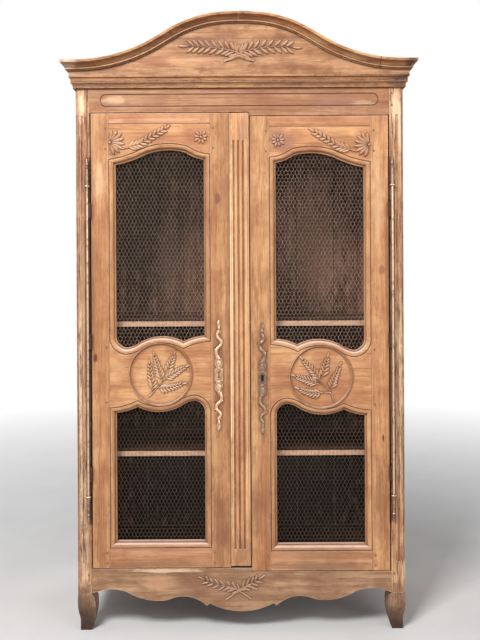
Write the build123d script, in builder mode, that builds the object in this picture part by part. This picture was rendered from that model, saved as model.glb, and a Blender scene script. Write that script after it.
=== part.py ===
from build123d import *
import math
import os

os.makedirs("parts", exist_ok=True)

# A two-door armoire with a bonnet cornice, wire netting in the doors and cabriole front feet.
# Frame: X to the right, Y away from the front, Z up.
# The origin is on the floor, under the middle of the whole.

# ---------------------------------------------------------------- driving dimensions, in mm

# Case
case_width = 1296.0  # over the outer faces of the posts
case_depth = 500.0  # front of the front posts to the back of the rear posts
post_height = 2142.0  # floor to the underside of the cornice
tenon_clearance = 0.2  # round a tenon in its mortise and a panel in its groove
tenon_length = 20.0
tenon_thickness = 10.0
tenon_shoulder = 12.0  # rail above and below its tenon

# Front posts and cabriole feet
post_width = 56.0
post_depth = 60.0
post_round = 30.0  # plan radius of the outer front corner
foot_height = 150.0
foot_pin_radius = 9.0
foot_pin_length = 24.0
foot_pin_inset = 24.0  # pin from the outer face of the post
knee_z = 102.0
knee_swell = 4.0  # knee beyond the outer faces
knee_back = 15.0  # knee beyond the inner faces
calf_drop = 8.0  # inner knee below the outer one
ankle_z = 34.0
ankle_inset = 10.0  # ankle inside the outer faces
toe_inset = 3.0  # toe inside the inner faces
flute_radius = 5.0
flute_depth = 4.0
flute_bottom = 270.0
flute_top_margin = 112.0  # flutes end below the top of the post
flute_front_inset = 27.0  # front flute from the post's outer face
flute_side_inset = 28.0  # side flute from the post's front face

# Rear posts and back
rear_post_width = 50.0
rear_post_depth = 50.0
back_rail_thickness = 27.0
back_rail_inset = 13.0  # back of the rails inside the back of the posts
back_board_thickness = 12.0
back_board_count = 7
back_board_gap = 1.0
back_top_rail_height = 82.0
back_bottom_rail_top = 232.0

# Front rails
front_rail_depth = 40.0
frieze_height = 95.0
frieze_step = 14.0  # right half of the frieze hangs lower by this, and so does the right leaf
frieze_line_width = 3.0
frieze_line_depth = 2.0
frieze_line_height = 50.0
frieze_line_margin = 42.0  # incised line from the posts
apron_top = 246.0
apron_end_z = 146.0  # scalloped edge where it meets the posts
apron_arch_run = 140.0  # first arch, from the post
apron_arch_rise = 14.5
apron_arch_z = 152.5
apron_lobe_run = 302.0
apron_lobe_drop = 15.0
apron_lobe_z = 121.0
apron_tip_x = 138.0  # pointed tips each side of the middle lobe
apron_tip_z = 97.0
apron_tip_rise = 24.0
apron_notch_x = 125.0
apron_notch_z = 106.0
apron_centre_drop = 31.0
stop_lip_height = 12.0  # lip behind the leaves, on the frieze and the apron
stop_lip_clearance = 2.0

# Sides
side_rail_thickness = 28.0
side_rail_inset = 8.0  # outer face of the side rails inside the post's outer face
side_top_rail_height = 90.0
side_middle_rail_z = 1120.0
side_middle_rail_height = 84.0
side_bottom_rail_height = 72.0
panel_thickness = 10.0
panel_groove = 9.0
panel_field_thickness = 6.0
panel_field_margin = 34.0
panel_bevel = 40.0  # degrees, slope of the raised field's edge

# Inside
floor_top = 250.0
floor_thickness = 18.0
shelf_tops = (694.0, 1216.0)
shelf_thickness = 20.0
shelf_setback = 65.0  # front edge behind the front of the posts
shelf_end_clearance = 2.0
cleat_width = 22.0
cleat_height = 28.0
dust_panel_thickness = 12.0

# Cornice
cornice_reach = 50.0  # crown beyond the posts at the front and the sides
cornice_base_height = 48.0
cornice_base_inner = 35.0  # base rails inside the post's outer faces
crest_reach = 20.0  # crest board beyond the posts
crest_thickness = 24.0
crown_height = 38.0
crest_end_height = 55.0  # flat ends of the crest above the cornice base
crest_rise = 185.0  # top of the crest above its flat ends
crest_angle = 31.0  # steepest slope, in degrees
cap_radius = 900.0
cap_angle = 4.5
shoulder_radius = 480.0
hollow_radius = 610.0

# Leaves
hinge_gap = 5.0  # post to leaf
leaf_gap = 3.0  # leaf to frieze and apron
meeting_gap = 3.0  # meeting strip to right leaf
leaf_thickness = 26.0
hinge_stile_width = 95.0  # with its moulding
lock_stile_width = 101.0  # with its moulding
moulding_width = 26.0
moulding_step = 6.0  # flat fillet next to the opening
moulding_depth = 12.0
moulding_round = 10.0
quirk_width = 4.0
quirk_depth = 3.0
bottom_rail_height = 102.0  # with its moulding
arch_hinge_margin = 202.0  # upper opening below the top of the leaf, at the hinge stile
arch_shoulder_run = 116.0
arch_shoulder_margin = 163.0
arch_shoulder_drop = 4.4
arch_crown_rise = 13.3
arch_cusp_run = 72.0
arch_cusp_margin = 154.0
arch_lock_drop = 4.6
arch_lock_margin = 183.0
top_strip_height = 41.0
middle_rail_z = 1010.8  # middle of the medallion
horn_rise = 155.2  # middle rail's edge above the medallion's middle, from the stile inwards
horn_bow = 13.5
trough_run = 134.0
trough_rise = 105.2
trough_bow = 3.6
collar_run = 83.0
collar_rise = 125.2
collar_bow = 22.4
cusp_run = 91.0
cusp_rise = 128.8
cusp_bow = 3.8
lock_rise = 152.2
medallion_radius = 121.0
medallion_depth = 4.0
medallion_taper = 45.0  # degrees, slope of the sunk field's edge
leaf_tenon_length = 35.0
leaf_tenon_thickness = 9.0
leaf_tenon_shoulder = 10.0

# Meeting strip
strip_width = 79.0
strip_proud = 6.0
strip_bead = 3.5  # radius of the bead at each edge
strip_quirk = 1.5
strip_flute_radius = 5.5
strip_flute_depth = 3.5
strip_flute_pitch = 18.5
strip_flute_offset = -3.5  # middle flute from the middle of the strip
strip_flute_bottom_margin = 75.0  # flutes from the bottom of the leaf
strip_flute_top_margin = 114.0  # and from its top
strip_gap = 2.0  # strip below the leaf's top
strip_rise = 8.0  # strip above the leaf's bottom

# Wire netting
net_pitch = 72.0
net_row = 72.0
net_twist = 30.0  # upright side of a mesh
net_wire = 4.0
net_least_hole = 250.0  # smaller holes at the edge are left closed, in square mm
net_thickness = 1.5
net_lap = 12.0  # beyond the opening, on the back of the frame

# Hinges
hinge_inset = 47.0  # axis from the post's outer face
hinge_proud = 9.0  # axis in front of the posts
rod_radius = 5.0
rod_bottom_margin = 286.0  # rod from the bottom of the leaf
rod_top_margin = 292.0  # and from its top
rod_end_play = 0.3
pin_radius = 2.5
pin_length = 25.0
pin_clearance = 0.05
collar_radius = 8.5
collar_height = 5.0
barrel_radius = 6.5
barrel_neck = 5.0  # radius where the barrel's taper ends
barrel_length = 66.0
bead_radius = 7.5
finial_length = 38.0
tip_radius = 1.2
wing_thickness = 2.5
wing_height = 60.0
wing_depth = 20.0  # in the wood
wing_insets = (85.0, 92.0)  # lower and upper wing from the ends of the rod
post_wing_height = 48.0

# Lock, bolts and plates
plate_thickness = 2.0
plate_height = 442.0
plate_z = 1009.0  # middle of the left plate and its keyhole
plate_inset = 45.0  # middle of the plate from the leaf's meeting edge
plate_width = 34.0
shield_height = 56.0
shield_round = 9.0
pear_z = 47.0  # pears above and below the keyhole
pear_height = 46.0
stem_width = 7.5
stem_points = ((4.0, 62.0), (-9.0, 95.0), (9.5, 128.0), (-5.0, 160.0))  # across, up, from the keyhole
hook_radius = 8.5
ring_radius = 9.0
ring_hole = 3.5
ring_z = 170.0
tip_width = 11.0
keyhole_radius = 4.5
keyhole_slot = 5.0
keyhole_length = 27.0
case_size = 70.0
case_height = 90.0
case_thickness = 20.0
case_wall = 5.0
case_inset = 4.0  # lock case from the leaf's meeting edge
case_rise = 6.0  # middle of the case above the keyhole
bolt_height = 17.0
bolt_above_key = 26.0
bolt_clearance = 0.3
lock_bolt_length = 58.0
lock_bolt_recess = 0.5  # drawn bolt inside the case's edge
bolt_nose = 2.0
keeper_x = (22.0, 36.0)
keeper_wall = 3.0
bolt_width = 12.0
bolt_thickness = 8.0
bolt_length = 180.0
bolt_throw = 24.0
bolt_rest_gap = 4.0  # between a drawn bolt and the stop lip
pocket_clearance = 2.0
bolt_knob_radius = 5.0
bolt_knob_length = 12.0
staple_thickness = 3.0
staple_height = 14.0
staple_inset = 30.0  # staple from the end of its bolt

# Pegs
peg_radius = 4.0
peg_proud = 1.5
peg_depth = 20.0
peg_inset = 8.0  # peg from the edge of its tenon in a leaf
peg_clearance = 0.05

# ---------------------------------------------------------------- places worked out from them

side = case_width / 2
front = -(case_depth + cornice_reach) / 2 + cornice_reach
back = front + case_depth
post_inner = side - post_width
rear_inner = side - rear_post_width
rear_post_front = back - rear_post_depth
front_post_back = front + post_depth
frieze_bottom = post_height - frieze_height
flute_top = post_height - flute_top_margin
leaf_outer = post_inner - hinge_gap
leaf_inner = (strip_width + meeting_gap) / 2
strip_inner = leaf_inner - meeting_gap
leaf_bottom = apron_top + leaf_gap
leaf_top = frieze_bottom - leaf_gap
leaf_back = front + leaf_thickness
opening_left = -leaf_outer + hinge_stile_width
opening_right = -leaf_inner - lock_stile_width
opening_middle = (opening_left + opening_right) / 2
half_opening = (opening_right - opening_left) / 2
flat_left = opening_left - moulding_width
flat_right = opening_right + moulding_width
opening_bottom = leaf_bottom + bottom_rail_height
arch_hinge_z = leaf_top - arch_hinge_margin
arch_lock_z = leaf_top - arch_lock_margin
top_strip_bottom = leaf_top - top_strip_height
hinge_x = side - hinge_inset
hinge_y = front - hinge_proud
rod_bottom = leaf_bottom + rod_bottom_margin
rod_top = leaf_top - rod_top_margin
wing_heights = (rod_bottom + wing_insets[0], (rod_bottom + rod_top) / 2, rod_top - wing_insets[1])
rail_back = front + front_rail_depth
lip_front = leaf_back + stop_lip_clearance
side_rail_outer = side - side_rail_inset
side_rail_inner = side_rail_outer - side_rail_thickness
side_middle = (side_rail_outer + side_rail_inner) / 2
back_rail_back = back - back_rail_inset
back_rail_front = back_rail_back - back_rail_thickness
side_bottom_rail_top = floor_top - floor_thickness
cornice_base_top = post_height + cornice_base_height
overall_height = cornice_base_top + crest_end_height + crest_rise
crest_front = front - crest_reach
crest_side = side + crest_reach
crown_side = side + cornice_reach
front_plane = Plane.XZ.offset(-front)
foot_room = knee_swell + knee_back + 5
foot_pin = (-side + foot_pin_inset, (front + front_post_back) / 2, apron_end_z)
carcass_peg_x = post_inner + tenon_length / 2
hinge_peg_x = flat_left - leaf_tenon_length / 3
lock_peg_x = flat_right + leaf_tenon_length / 3
bolt_middle = (flat_right - leaf_inner) / 2
bolt_x = (bolt_middle - bolt_width / 2, bolt_middle + bolt_width / 2)
bolt_y = (leaf_back + bolt_clearance, leaf_back + bolt_clearance + bolt_thickness)
top_bolt_end = frieze_bottom - stop_lip_height - bolt_rest_gap
bottom_bolt_end = apron_top + stop_lip_height + bolt_rest_gap
plate_x = leaf_inner + plate_inset
lock_z = plate_z - frieze_step
lock_x = (leaf_inner + case_inset, leaf_inner + case_inset + case_size)
lock_bolt_y = (leaf_back + case_wall, leaf_back + case_thickness - case_wall)
lock_bolt_z = (lock_z + bolt_above_key - bolt_height / 2, lock_z + bolt_above_key + bolt_height / 2)
wing_middles = (rod_bottom - collar_height - barrel_length / 2, rod_top + collar_height + barrel_length / 2)


# ---------------------------------------------------------------- helpers

def block(x, y, z, mode=Mode.ADD):
    """Box from three (low, high) pairs."""
    with Locations(((x[0] + x[1]) / 2, (y[0] + y[1]) / 2, (z[0] + z[1]) / 2)):
        Box(abs(x[1] - x[0]), abs(y[1] - y[0]), abs(z[1] - z[0]), mode=mode)


def around(span, gap):
    """A (low, high) pair widened by a gap at both ends."""
    return (span[0] - gap, span[1] + gap)


def save(name, part):
    """Label a finished piece and write it."""
    part.label = name
    export_step(part, f"parts/{name}.step")


def save_both(name, part):
    """Write a piece of the left side and its mirror image as one node."""
    save(name, part + part.mirror(Plane.YZ))


def save_pair(name, part):
    """Write a piece of the left side and its mirror image on the right."""
    save(f"left_{name}", part)
    save(f"right_{name}", part.mirror(Plane.YZ))


# ---------------------------------------------------------------- rails: size and tenons

both_sides = (-1, 1)

# Rails between the posts along X: y span, z span
front_rails = {
    "frieze_rail": ((front, rail_back), (frieze_bottom, post_height)),
    "apron_rail": ((front, rail_back), (apron_end_z, apron_top)),
}
back_rails = {
    "rear_top_rail": ((back_rail_front, back_rail_back), (post_height - back_top_rail_height, post_height)),
    "rear_bottom_rail": ((back_rail_front, back_rail_back), (apron_end_z, back_bottom_rail_top)),
}
# Rails between the posts along Y: z span
side_rails = {
    "side_top_rail": (post_height - side_top_rail_height, post_height),
    "side_middle_rail": (side_middle_rail_z, side_middle_rail_z + side_middle_rail_height),
    "side_bottom_rail": (side_bottom_rail_top - side_bottom_rail_height, side_bottom_rail_top),
}
side_panels = {
    "side_upper_panel": (side_rails["side_middle_rail"][1], side_rails["side_top_rail"][0]),
    "side_lower_panel": (side_rails["side_bottom_rail"][1], side_rails["side_middle_rail"][0]),
}


def tenon_span(span, thickness):
    """The middle of a span, as thick as a tenon."""
    middle = (span[0] + span[1]) / 2
    return (middle - thickness / 2, middle + thickness / 2)


def cross_tenons(rails, shoulder, gap, mode, signs=(-1,)):
    """Tenons (or, widened, mortises) of the rails along X, on the left side or on both."""
    for y_span, z_span in rails:
        for sign in signs:
            block(
                (sign * shoulder, sign * (shoulder + tenon_length + gap)),
                around(tenon_span(y_span, tenon_thickness), gap),
                around((z_span[0] + tenon_shoulder, z_span[1] - tenon_shoulder), gap),
                mode,
            )


def side_tenons(z_spans, ends, gap, mode):
    """Tenons (or, widened, mortises) of the left side rails."""
    for z_span in z_spans:
        for end, way in ends:
            block(
                around(tenon_span((-side_rail_outer, -side_rail_inner), tenon_thickness), gap),
                (min(end, end + way * (tenon_length + gap)), max(end, end + way * (tenon_length + gap))),
                around((z_span[0] + tenon_shoulder, z_span[1] - tenon_shoulder), gap),
                mode,
            )


def side_panel_tongue(z_span, gap, mode):
    """Edge of a left side panel, or the groove that takes it."""
    block(
        around((-side_middle - panel_thickness / 2, -side_middle + panel_thickness / 2), gap),
        around((front_post_back - panel_groove, rear_post_front + panel_groove), gap),
        around((z_span[0] - panel_groove, z_span[1] + panel_groove), gap),
        mode,
    )


peg_heights = (
    frieze_bottom + frieze_height / 4,
    post_height - frieze_height / 4,
    apron_end_z + (apron_top - apron_end_z) / 3,
    apron_top - (apron_top - apron_end_z) / 4,
)


carcass_pegs = [(sign * carcass_peg_x, peg_z) for sign in both_sides for peg_z in peg_heights]


def drive_pegs(places, radius, proud, mode):
    """Pegs driven in from the front at (x, z) places, or the holes that take them."""
    with BuildSketch(front_plane.offset(proud)) as ends:
        with Locations(*places):
            Circle(radius)
    extrude(ends.sketch, amount=-(peg_depth + proud), mode=mode)


def peg_holes(places):
    """Holes for pegs."""
    drive_pegs(places, peg_radius + peg_clearance, 0, Mode.SUBTRACT)


def post_wing(wing_z, gap, mode):
    """Wing that holds a pintle in the left front post, or the mortise that takes it."""
    block(
        around((-hinge_x - wing_thickness / 2, -hinge_x + wing_thickness / 2), gap),
        (hinge_y, front + wing_depth + gap),
        around((wing_z - post_wing_height / 2, wing_z + post_wing_height / 2), gap),
        mode,
    )


# ---------------------------------------------------------------- posts

def post_view(outer, inner, out):
    """Front post seen square on, with the S-curve of its foot; `out` points to the outer side."""
    knee = (outer + out * knee_swell, knee_z)
    ankle = (outer - out * ankle_inset, ankle_z)
    toe = (inner + out * toe_inset, 0)
    with BuildLine() as outline:
        Polyline((outer, foot_height), (outer, post_height), (inner, post_height), (inner, apron_end_z))
        Spline((outer, foot_height), knee, ankle, tangents=[(0, -1), (0, -1)])
        Line(ankle, (ankle[0], 0))
        Line((ankle[0], 0), toe)
        calf = (inner - out * knee_back, knee_z - calf_drop)
        Spline(toe, calf, (inner, apron_end_z), tangents=[(-out * 0.35, 1), (out, 1)])
    make_face(outline.edges())


with BuildPart() as front_post:
    with BuildSketch(Plane.XZ.offset(-front + knee_swell)):
        post_view(-side, -post_inner, -1)
    extrude(amount=-(post_depth + foot_room))
    with BuildSketch(Plane.YZ.offset(-side - knee_swell)):
        post_view(front, front_post_back, -1)
    extrude(amount=post_width + foot_room, mode=Mode.INTERSECT)
    with BuildSketch(Plane.XY):
        with Locations((-side - knee_swell, front - knee_swell)):
            Rectangle(
                post_width + foot_room,
                post_depth + foot_room,
                align=(Align.MIN, Align.MIN),
            )
        fillet(vertices().group_by(Axis.X)[0].sort_by(Axis.Y)[0], radius=post_round)
    extrude(amount=post_height, mode=Mode.INTERSECT)
    # Three stopped flutes: one on the front, one on the round, one on the side
    corner_reach = (post_round + flute_radius - flute_depth) * math.cos(math.radians(45))
    round_centre = post_round - knee_swell - corner_reach
    flute_places = (
        (-side + flute_front_inset, front - flute_radius + flute_depth),
        (-side + round_centre, front + round_centre),
        (-side - flute_radius + flute_depth, front + flute_side_inset),
    )
    for flute_x, flute_y in flute_places:
        with Locations((flute_x, flute_y, flute_bottom)):
            Cylinder(
                flute_radius,
                flute_top - flute_bottom,
                align=(Align.CENTER, Align.CENTER, Align.MIN),
                mode=Mode.SUBTRACT,
            )
        with Locations((flute_x, flute_y, flute_bottom), (flute_x, flute_y, flute_top)):
            Sphere(flute_radius, mode=Mode.SUBTRACT)
    cross_tenons(front_rails.values(), post_inner, tenon_clearance, Mode.SUBTRACT)
    side_tenons(side_rails.values(), [(front_post_back, -1)], tenon_clearance, Mode.SUBTRACT)
    for panel_span in side_panels.values():
        side_panel_tongue(panel_span, tenon_clearance, Mode.SUBTRACT)
    peg_holes(carcass_pegs)
    # Mortises for the hinge wings
    for wing_z in wing_middles:
        post_wing(wing_z, tenon_clearance, Mode.SUBTRACT)

# The foot is spliced on under the apron, with a round pin
with BuildPart() as front_foot:
    add(front_post.part)
    split(bisect_by=Plane.XY.offset(apron_end_z), keep=Keep.BOTTOM)
    with Locations(foot_pin):
        Cylinder(foot_pin_radius, foot_pin_length, align=(Align.CENTER, Align.CENTER, Align.MIN))
save_both("front_feet", front_foot.part)

with BuildPart() as spliced_post:
    add(front_post.part)
    split(bisect_by=Plane.XY.offset(apron_end_z), keep=Keep.TOP)
    with Locations(foot_pin):
        Cylinder(
            foot_pin_radius + tenon_clearance,
            foot_pin_length + tenon_clearance,
            align=(Align.CENTER, Align.CENTER, Align.MIN),
            mode=Mode.SUBTRACT,
        )
save_pair("front_post", spliced_post.part)

with BuildPart() as rear_post:
    block((-side, -rear_inner), (rear_post_front, back), (0, post_height))
    cross_tenons(back_rails.values(), rear_inner, tenon_clearance, Mode.SUBTRACT)
    side_tenons(side_rails.values(), [(rear_post_front, 1)], tenon_clearance, Mode.SUBTRACT)
    for panel_span in side_panels.values():
        side_panel_tongue(panel_span, tenon_clearance, Mode.SUBTRACT)

# ---------------------------------------------------------------- sides

for rail_name, rail_span in side_rails.items():
    with BuildPart() as side_rail:
        block((-side_rail_outer, -side_rail_inner), (front_post_back, rear_post_front), rail_span)
        side_tenons([rail_span], [(front_post_back, -1), (rear_post_front, 1)], 0, Mode.ADD)
        for panel_span in side_panels.values():
            side_panel_tongue(panel_span, tenon_clearance, Mode.SUBTRACT)
    save_pair(rail_name, side_rail.part)

for panel_name, panel_span in side_panels.items():
    with BuildPart() as side_panel:
        side_panel_tongue(panel_span, 0, Mode.ADD)
        with BuildSketch(Plane.YZ.offset(-side_middle - panel_thickness / 2)):
            with Locations(((front_post_back + rear_post_front) / 2, (panel_span[0] + panel_span[1]) / 2)):
                Rectangle(
                    rear_post_front - front_post_back - 2 * panel_field_margin,
                    panel_span[1] - panel_span[0] - 2 * panel_field_margin,
                )
        extrude(amount=-panel_field_thickness, taper=panel_bevel)
    save_pair(panel_name, side_panel.part)

# ---------------------------------------------------------------- front rails

def bolt_pocket(z_span):
    """Pocket that takes the end of one of the left leaf's bolts."""
    block(around(bolt_x, pocket_clearance), around(bolt_y, pocket_clearance), z_span, Mode.SUBTRACT)


step_x = leaf_inner - meeting_gap / 2

with BuildPart() as frieze_rail:
    frieze_z = front_rails["frieze_rail"][1]
    block((-post_inner, post_inner), (front, rail_back), frieze_z)
    block((step_x, post_inner), (front, rail_back), (frieze_z[0] - frieze_step, frieze_z[0]))
    # Lip that stops the leaves
    block((-post_inner, step_x), (lip_front, rail_back), (frieze_z[0] - stop_lip_height, frieze_z[0]))
    block(
        (step_x, post_inner),
        (lip_front, rail_back),
        (frieze_z[0] - frieze_step - stop_lip_height, frieze_z[0] - frieze_step),
    )
    cross_tenons([front_rails["frieze_rail"]], post_inner, 0, Mode.ADD, both_sides)
    # Incised line, an oblong with round ends
    with BuildSketch(front_plane):
        with Locations((0, (frieze_z[0] + frieze_z[1]) / 2)):
            SlotOverall(2 * (post_inner - frieze_line_margin), frieze_line_height)
            SlotOverall(
                2 * (post_inner - frieze_line_margin - frieze_line_width),
                frieze_line_height - 2 * frieze_line_width,
                mode=Mode.SUBTRACT,
            )
    extrude(amount=-frieze_line_depth, mode=Mode.SUBTRACT)
    bolt_pocket((frieze_z[0] - stop_lip_height, top_bolt_end + bolt_throw + pocket_clearance))
    peg_holes(carcass_pegs)
save("frieze_rail", frieze_rail.part)

with BuildPart() as apron_rail:
    with BuildSketch(front_plane):
        with BuildLine():
            arch = (-post_inner + apron_arch_run, apron_arch_z)
            lobe = (-post_inner + apron_lobe_run, apron_lobe_z)
            tip = (-apron_tip_x, apron_tip_z)
            notch = (-apron_notch_x, apron_notch_z)
            SagittaArc((-post_inner, apron_end_z), arch, apron_arch_rise)
            SagittaArc(arch, lobe, -apron_lobe_drop)
            SagittaArc(lobe, tip, apron_tip_rise)
            Line(tip, notch)
            SagittaArc(notch, (apron_notch_x, apron_notch_z), -apron_centre_drop)
            mirror(edges().filter_by(lambda edge: edge.center().X < -1), about=Plane.YZ)
            Polyline(
                (-post_inner, apron_end_z),
                (-post_inner, apron_top),
                (post_inner, apron_top),
                (post_inner, apron_end_z),
            )
        make_face()
    extrude(amount=-front_rail_depth)
    block((step_x, post_inner), (front, rail_back), (apron_top - frieze_step, apron_top), Mode.SUBTRACT)
    # Lip that stops the leaves
    block((-post_inner, step_x), (lip_front, rail_back), (apron_top, apron_top + stop_lip_height))
    block(
        (step_x, post_inner),
        (lip_front, rail_back),
        (apron_top - frieze_step, apron_top - frieze_step + stop_lip_height),
    )
    cross_tenons([front_rails["apron_rail"]], post_inner, 0, Mode.ADD, both_sides)
    bolt_pocket((bottom_bolt_end - bolt_throw - pocket_clearance, apron_top + stop_lip_height))
    peg_holes(carcass_pegs)
save("apron_rail", apron_rail.part)
save_pair("rear_post", rear_post.part)

with BuildPart() as pegs:
    drive_pegs(carcass_pegs, peg_radius, peg_proud, Mode.ADD)
save("carcass_pegs", pegs.part)

# ---------------------------------------------------------------- back, floor, shelves and top

for rail_name, (rail_y, rail_z) in back_rails.items():
    with BuildPart() as back_rail:
        block((-rear_inner, rear_inner), rail_y, rail_z)
        cross_tenons([back_rails[rail_name]], rear_inner, 0, Mode.ADD, both_sides)
    save(rail_name, back_rail.part)

board_pitch = 2 * rear_inner / back_board_count
with BuildPart() as back_boards:
    for board in range(back_board_count):
        board_left = -rear_inner + board * board_pitch
        block(
            (board_left + back_board_gap / 2, board_left + board_pitch - back_board_gap / 2),
            (back_rail_back, back_rail_back + back_board_thickness),
            (apron_end_z, post_height),
        )
save("back_boards", back_boards.part)

with BuildPart() as floor_panel:
    block(
        (-side_rail_inner + shelf_end_clearance, side_rail_inner - shelf_end_clearance),
        (rail_back, back_rail_back - shelf_end_clearance),
        (floor_top - floor_thickness, floor_top),
    )
    for sign in both_sides:
        block(
            (sign * (post_inner - shelf_end_clearance), sign * side),
            (rail_back, front_post_back + shelf_end_clearance),
            (0, post_height),
            Mode.SUBTRACT,
        )
        block(
            (sign * (rear_inner - shelf_end_clearance), sign * side),
            (rear_post_front - shelf_end_clearance, back),
            (0, post_height),
            Mode.SUBTRACT,
        )
save("floor_panel", floor_panel.part)

with BuildPart() as shelves:
    for shelf_top in shelf_tops:
        block(
            (-side_rail_inner + shelf_end_clearance, side_rail_inner - shelf_end_clearance),
            (front + shelf_setback, back_rail_back - shelf_end_clearance),
            (shelf_top - shelf_thickness, shelf_top),
        )
    for sign in both_sides:
        block(
            (sign * (rear_inner - shelf_end_clearance), sign * side),
            (rear_post_front - shelf_end_clearance, back),
            (0, post_height),
            Mode.SUBTRACT,
        )
save("shelves", shelves.part)

with BuildPart() as cleats:
    seats = [floor_top - floor_thickness] + [top - shelf_thickness for top in shelf_tops]
    for sign in both_sides:
        for seat in seats:
            block(
                (sign * (side_rail_inner - cleat_width), sign * side_rail_inner),
                (front_post_back, rear_post_front),
                (seat - cleat_height, seat),
            )
save("shelf_cleats", cleats.part)

with BuildPart() as dust_panel:
    inner_x = side - cornice_base_inner - 1
    block(
        (-inner_x, inner_x),
        (front + cornice_base_inner + 1, back),
        (post_height, post_height + dust_panel_thickness),
    )
save("dust_panel", dust_panel.part)

# ---------------------------------------------------------------- cornice

mitre = Plane(origin=(-side, front, 0), z_dir=(-1, 1, 0))


def base_section(outer, way):
    """Section of the cornice base: fillets and coves that step outwards as they rise."""
    low, high = post_height, cornice_base_top

    def at(reach, height):
        return (outer + way * reach, height)

    with BuildLine() as outline:
        Polyline(at(9, low), at(-cornice_base_inner, low), at(-cornice_base_inner, high), at(22, high))
        Polyline(at(22, high), at(22, high - 7), at(20.5, high - 8))
        ThreePointArc(at(20.5, high - 8), at(17.2, high - 10.5), at(16, high - 15))
        Polyline(at(16, high - 15), at(16, high - 22), at(13.5, high - 23.5))
        ThreePointArc(at(13.5, high - 23.5), at(16.2, high - 27), at(13.5, high - 30.5))
        ThreePointArc(at(13.5, high - 30.5), at(11.5, high - 34), at(10, high - 39))
        Polyline(at(10, high - 39), at(9, high - 39), at(9, low))
    make_face(outline.edges())


with BuildPart() as base_front:
    with BuildSketch(Plane.YZ):
        base_section(front, -1)
    extrude(amount=crown_side, both=True)
    split(bisect_by=mitre, keep=Keep.BOTTOM)
    split(bisect_by=Plane(origin=(side, front, 0), z_dir=(1, 1, 0)), keep=Keep.BOTTOM)
save("cornice_base_front", base_front.part)

with BuildPart() as base_side:
    with BuildSketch(Plane.XZ.offset(-back)):
        base_section(-side, -1)
    extrude(amount=case_depth + cornice_reach)
    split(bisect_by=mitre, keep=Keep.TOP)
save_both("cornice_base_sides", base_side.part)

cap_drop = cap_radius * (1 - math.cos(math.radians(cap_angle)))
shoulder_drop = shoulder_radius * (math.cos(math.radians(cap_angle)) - math.cos(math.radians(crest_angle)))
hollow_drop = hollow_radius * (1 - math.cos(math.radians(crest_angle)))
slope_length = (crest_rise - cap_drop - shoulder_drop - hollow_drop) / math.sin(math.radians(crest_angle))


def crest_line(end_x):
    """Top line of the bonnet, from its middle to the left: cap, shoulder, slope, hollow and flat."""
    cap = JernArc((0, overall_height), (-1, 0), cap_radius, cap_angle)
    shoulder = JernArc(cap @ 1, cap % 1, shoulder_radius, crest_angle - cap_angle)
    slope = Line(shoulder @ 1, (shoulder @ 1) + (shoulder % 1) * slope_length)
    hollow = JernArc(slope @ 1, slope % 1, hollow_radius, -crest_angle)
    return Line(hollow @ 1, (end_x, (hollow @ 1).Y))


with BuildPart() as crest_board:
    with BuildSketch(Plane.XZ.offset(-crest_front)):
        with BuildLine():
            flat = crest_line(-crest_side)
            Polyline(flat @ 1, (-crest_side, cornice_base_top), (0, cornice_base_top), (0, overall_height))
        make_face()
        mirror(about=Plane.YZ)
    extrude(amount=-crest_thickness)
save("crest_board", crest_board.part)


def crown_section(outer, way, top):
    """Section of the crown: a fillet over a cove, a small bead below."""

    def at(reach, drop):
        return (outer + way * reach, top - drop)

    reach = cornice_reach - crest_reach
    with BuildLine() as outline:
        Polyline(at(0, crown_height), at(0, 0), at(reach, 0), at(reach, 9), at(reach - 3, 11))
        ThreePointArc(at(reach - 3, 11), at(reach - 13, 17), at(9, 29))
        Line(at(9, 29), at(11, 29))
        ThreePointArc(at(11, 29), at(14, 31.5), at(11, 34))
        Polyline(at(11, 34), at(6, 34), at(6, crown_height), at(0, crown_height))
    make_face(outline.edges())


crown_mitre = Plane(origin=(-crest_side, crest_front, 0), z_dir=(-1, 1, 0))

with BuildLine() as crown_line:
    crest_line(-crown_side - cornice_reach)
crown_path = Plane.XZ.offset(-crest_front) * crown_line.line

with BuildPart() as crown:
    with BuildSketch(Plane.YZ):
        crown_section(crest_front, -1, overall_height)
    sweep(path=crown_path)
    split(bisect_by=crown_mitre, keep=Keep.BOTTOM)
save_pair("crown_moulding", crown.part)

with BuildPart() as crown_return:
    flat_top = overall_height - crest_rise
    with BuildSketch(Plane.XZ.offset(-back)):
        crown_section(-crest_side, -1, flat_top)
    extrude(amount=case_depth + 2 * cornice_reach)
    split(bisect_by=crown_mitre, keep=Keep.TOP)
    block(
        (-crest_side, -crest_side + crest_thickness),
        (crest_front + crest_thickness, back),
        (cornice_base_top, flat_top),
    )
save_both("crown_returns", crown_return.part)

# ---------------------------------------------------------------- leaves: frame

def right_leaf(part):
    """A piece of the left leaf mirrored to the right leaf, which hangs lower."""
    return Pos(0, 0, -frieze_step) * part.mirror(Plane.YZ)


def save_leaf_pair(name, part):
    """Write a piece of the left leaf and the same piece of the right leaf."""
    save(f"left_{name}", part)
    save(f"right_{name}", right_leaf(part))


def middle_edge(turn):
    """Wavy top edge of the middle rail; turn=-1 gives its bottom edge, turned about the medallion."""

    def at(run, rise):
        return (opening_middle + turn * run, middle_rail_z + turn * rise)

    horn = at(-half_opening, horn_rise)
    trough = at(-trough_run, trough_rise)
    collar = at(-collar_run, collar_rise)
    cusp = at(cusp_run, cusp_rise)
    SagittaArc(horn, trough, -horn_bow)
    SagittaArc(trough, collar, -trough_bow)
    SagittaArc(collar, cusp, collar_bow)
    SagittaArc(cusp, at(half_opening, lock_rise), cusp_bow)


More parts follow.
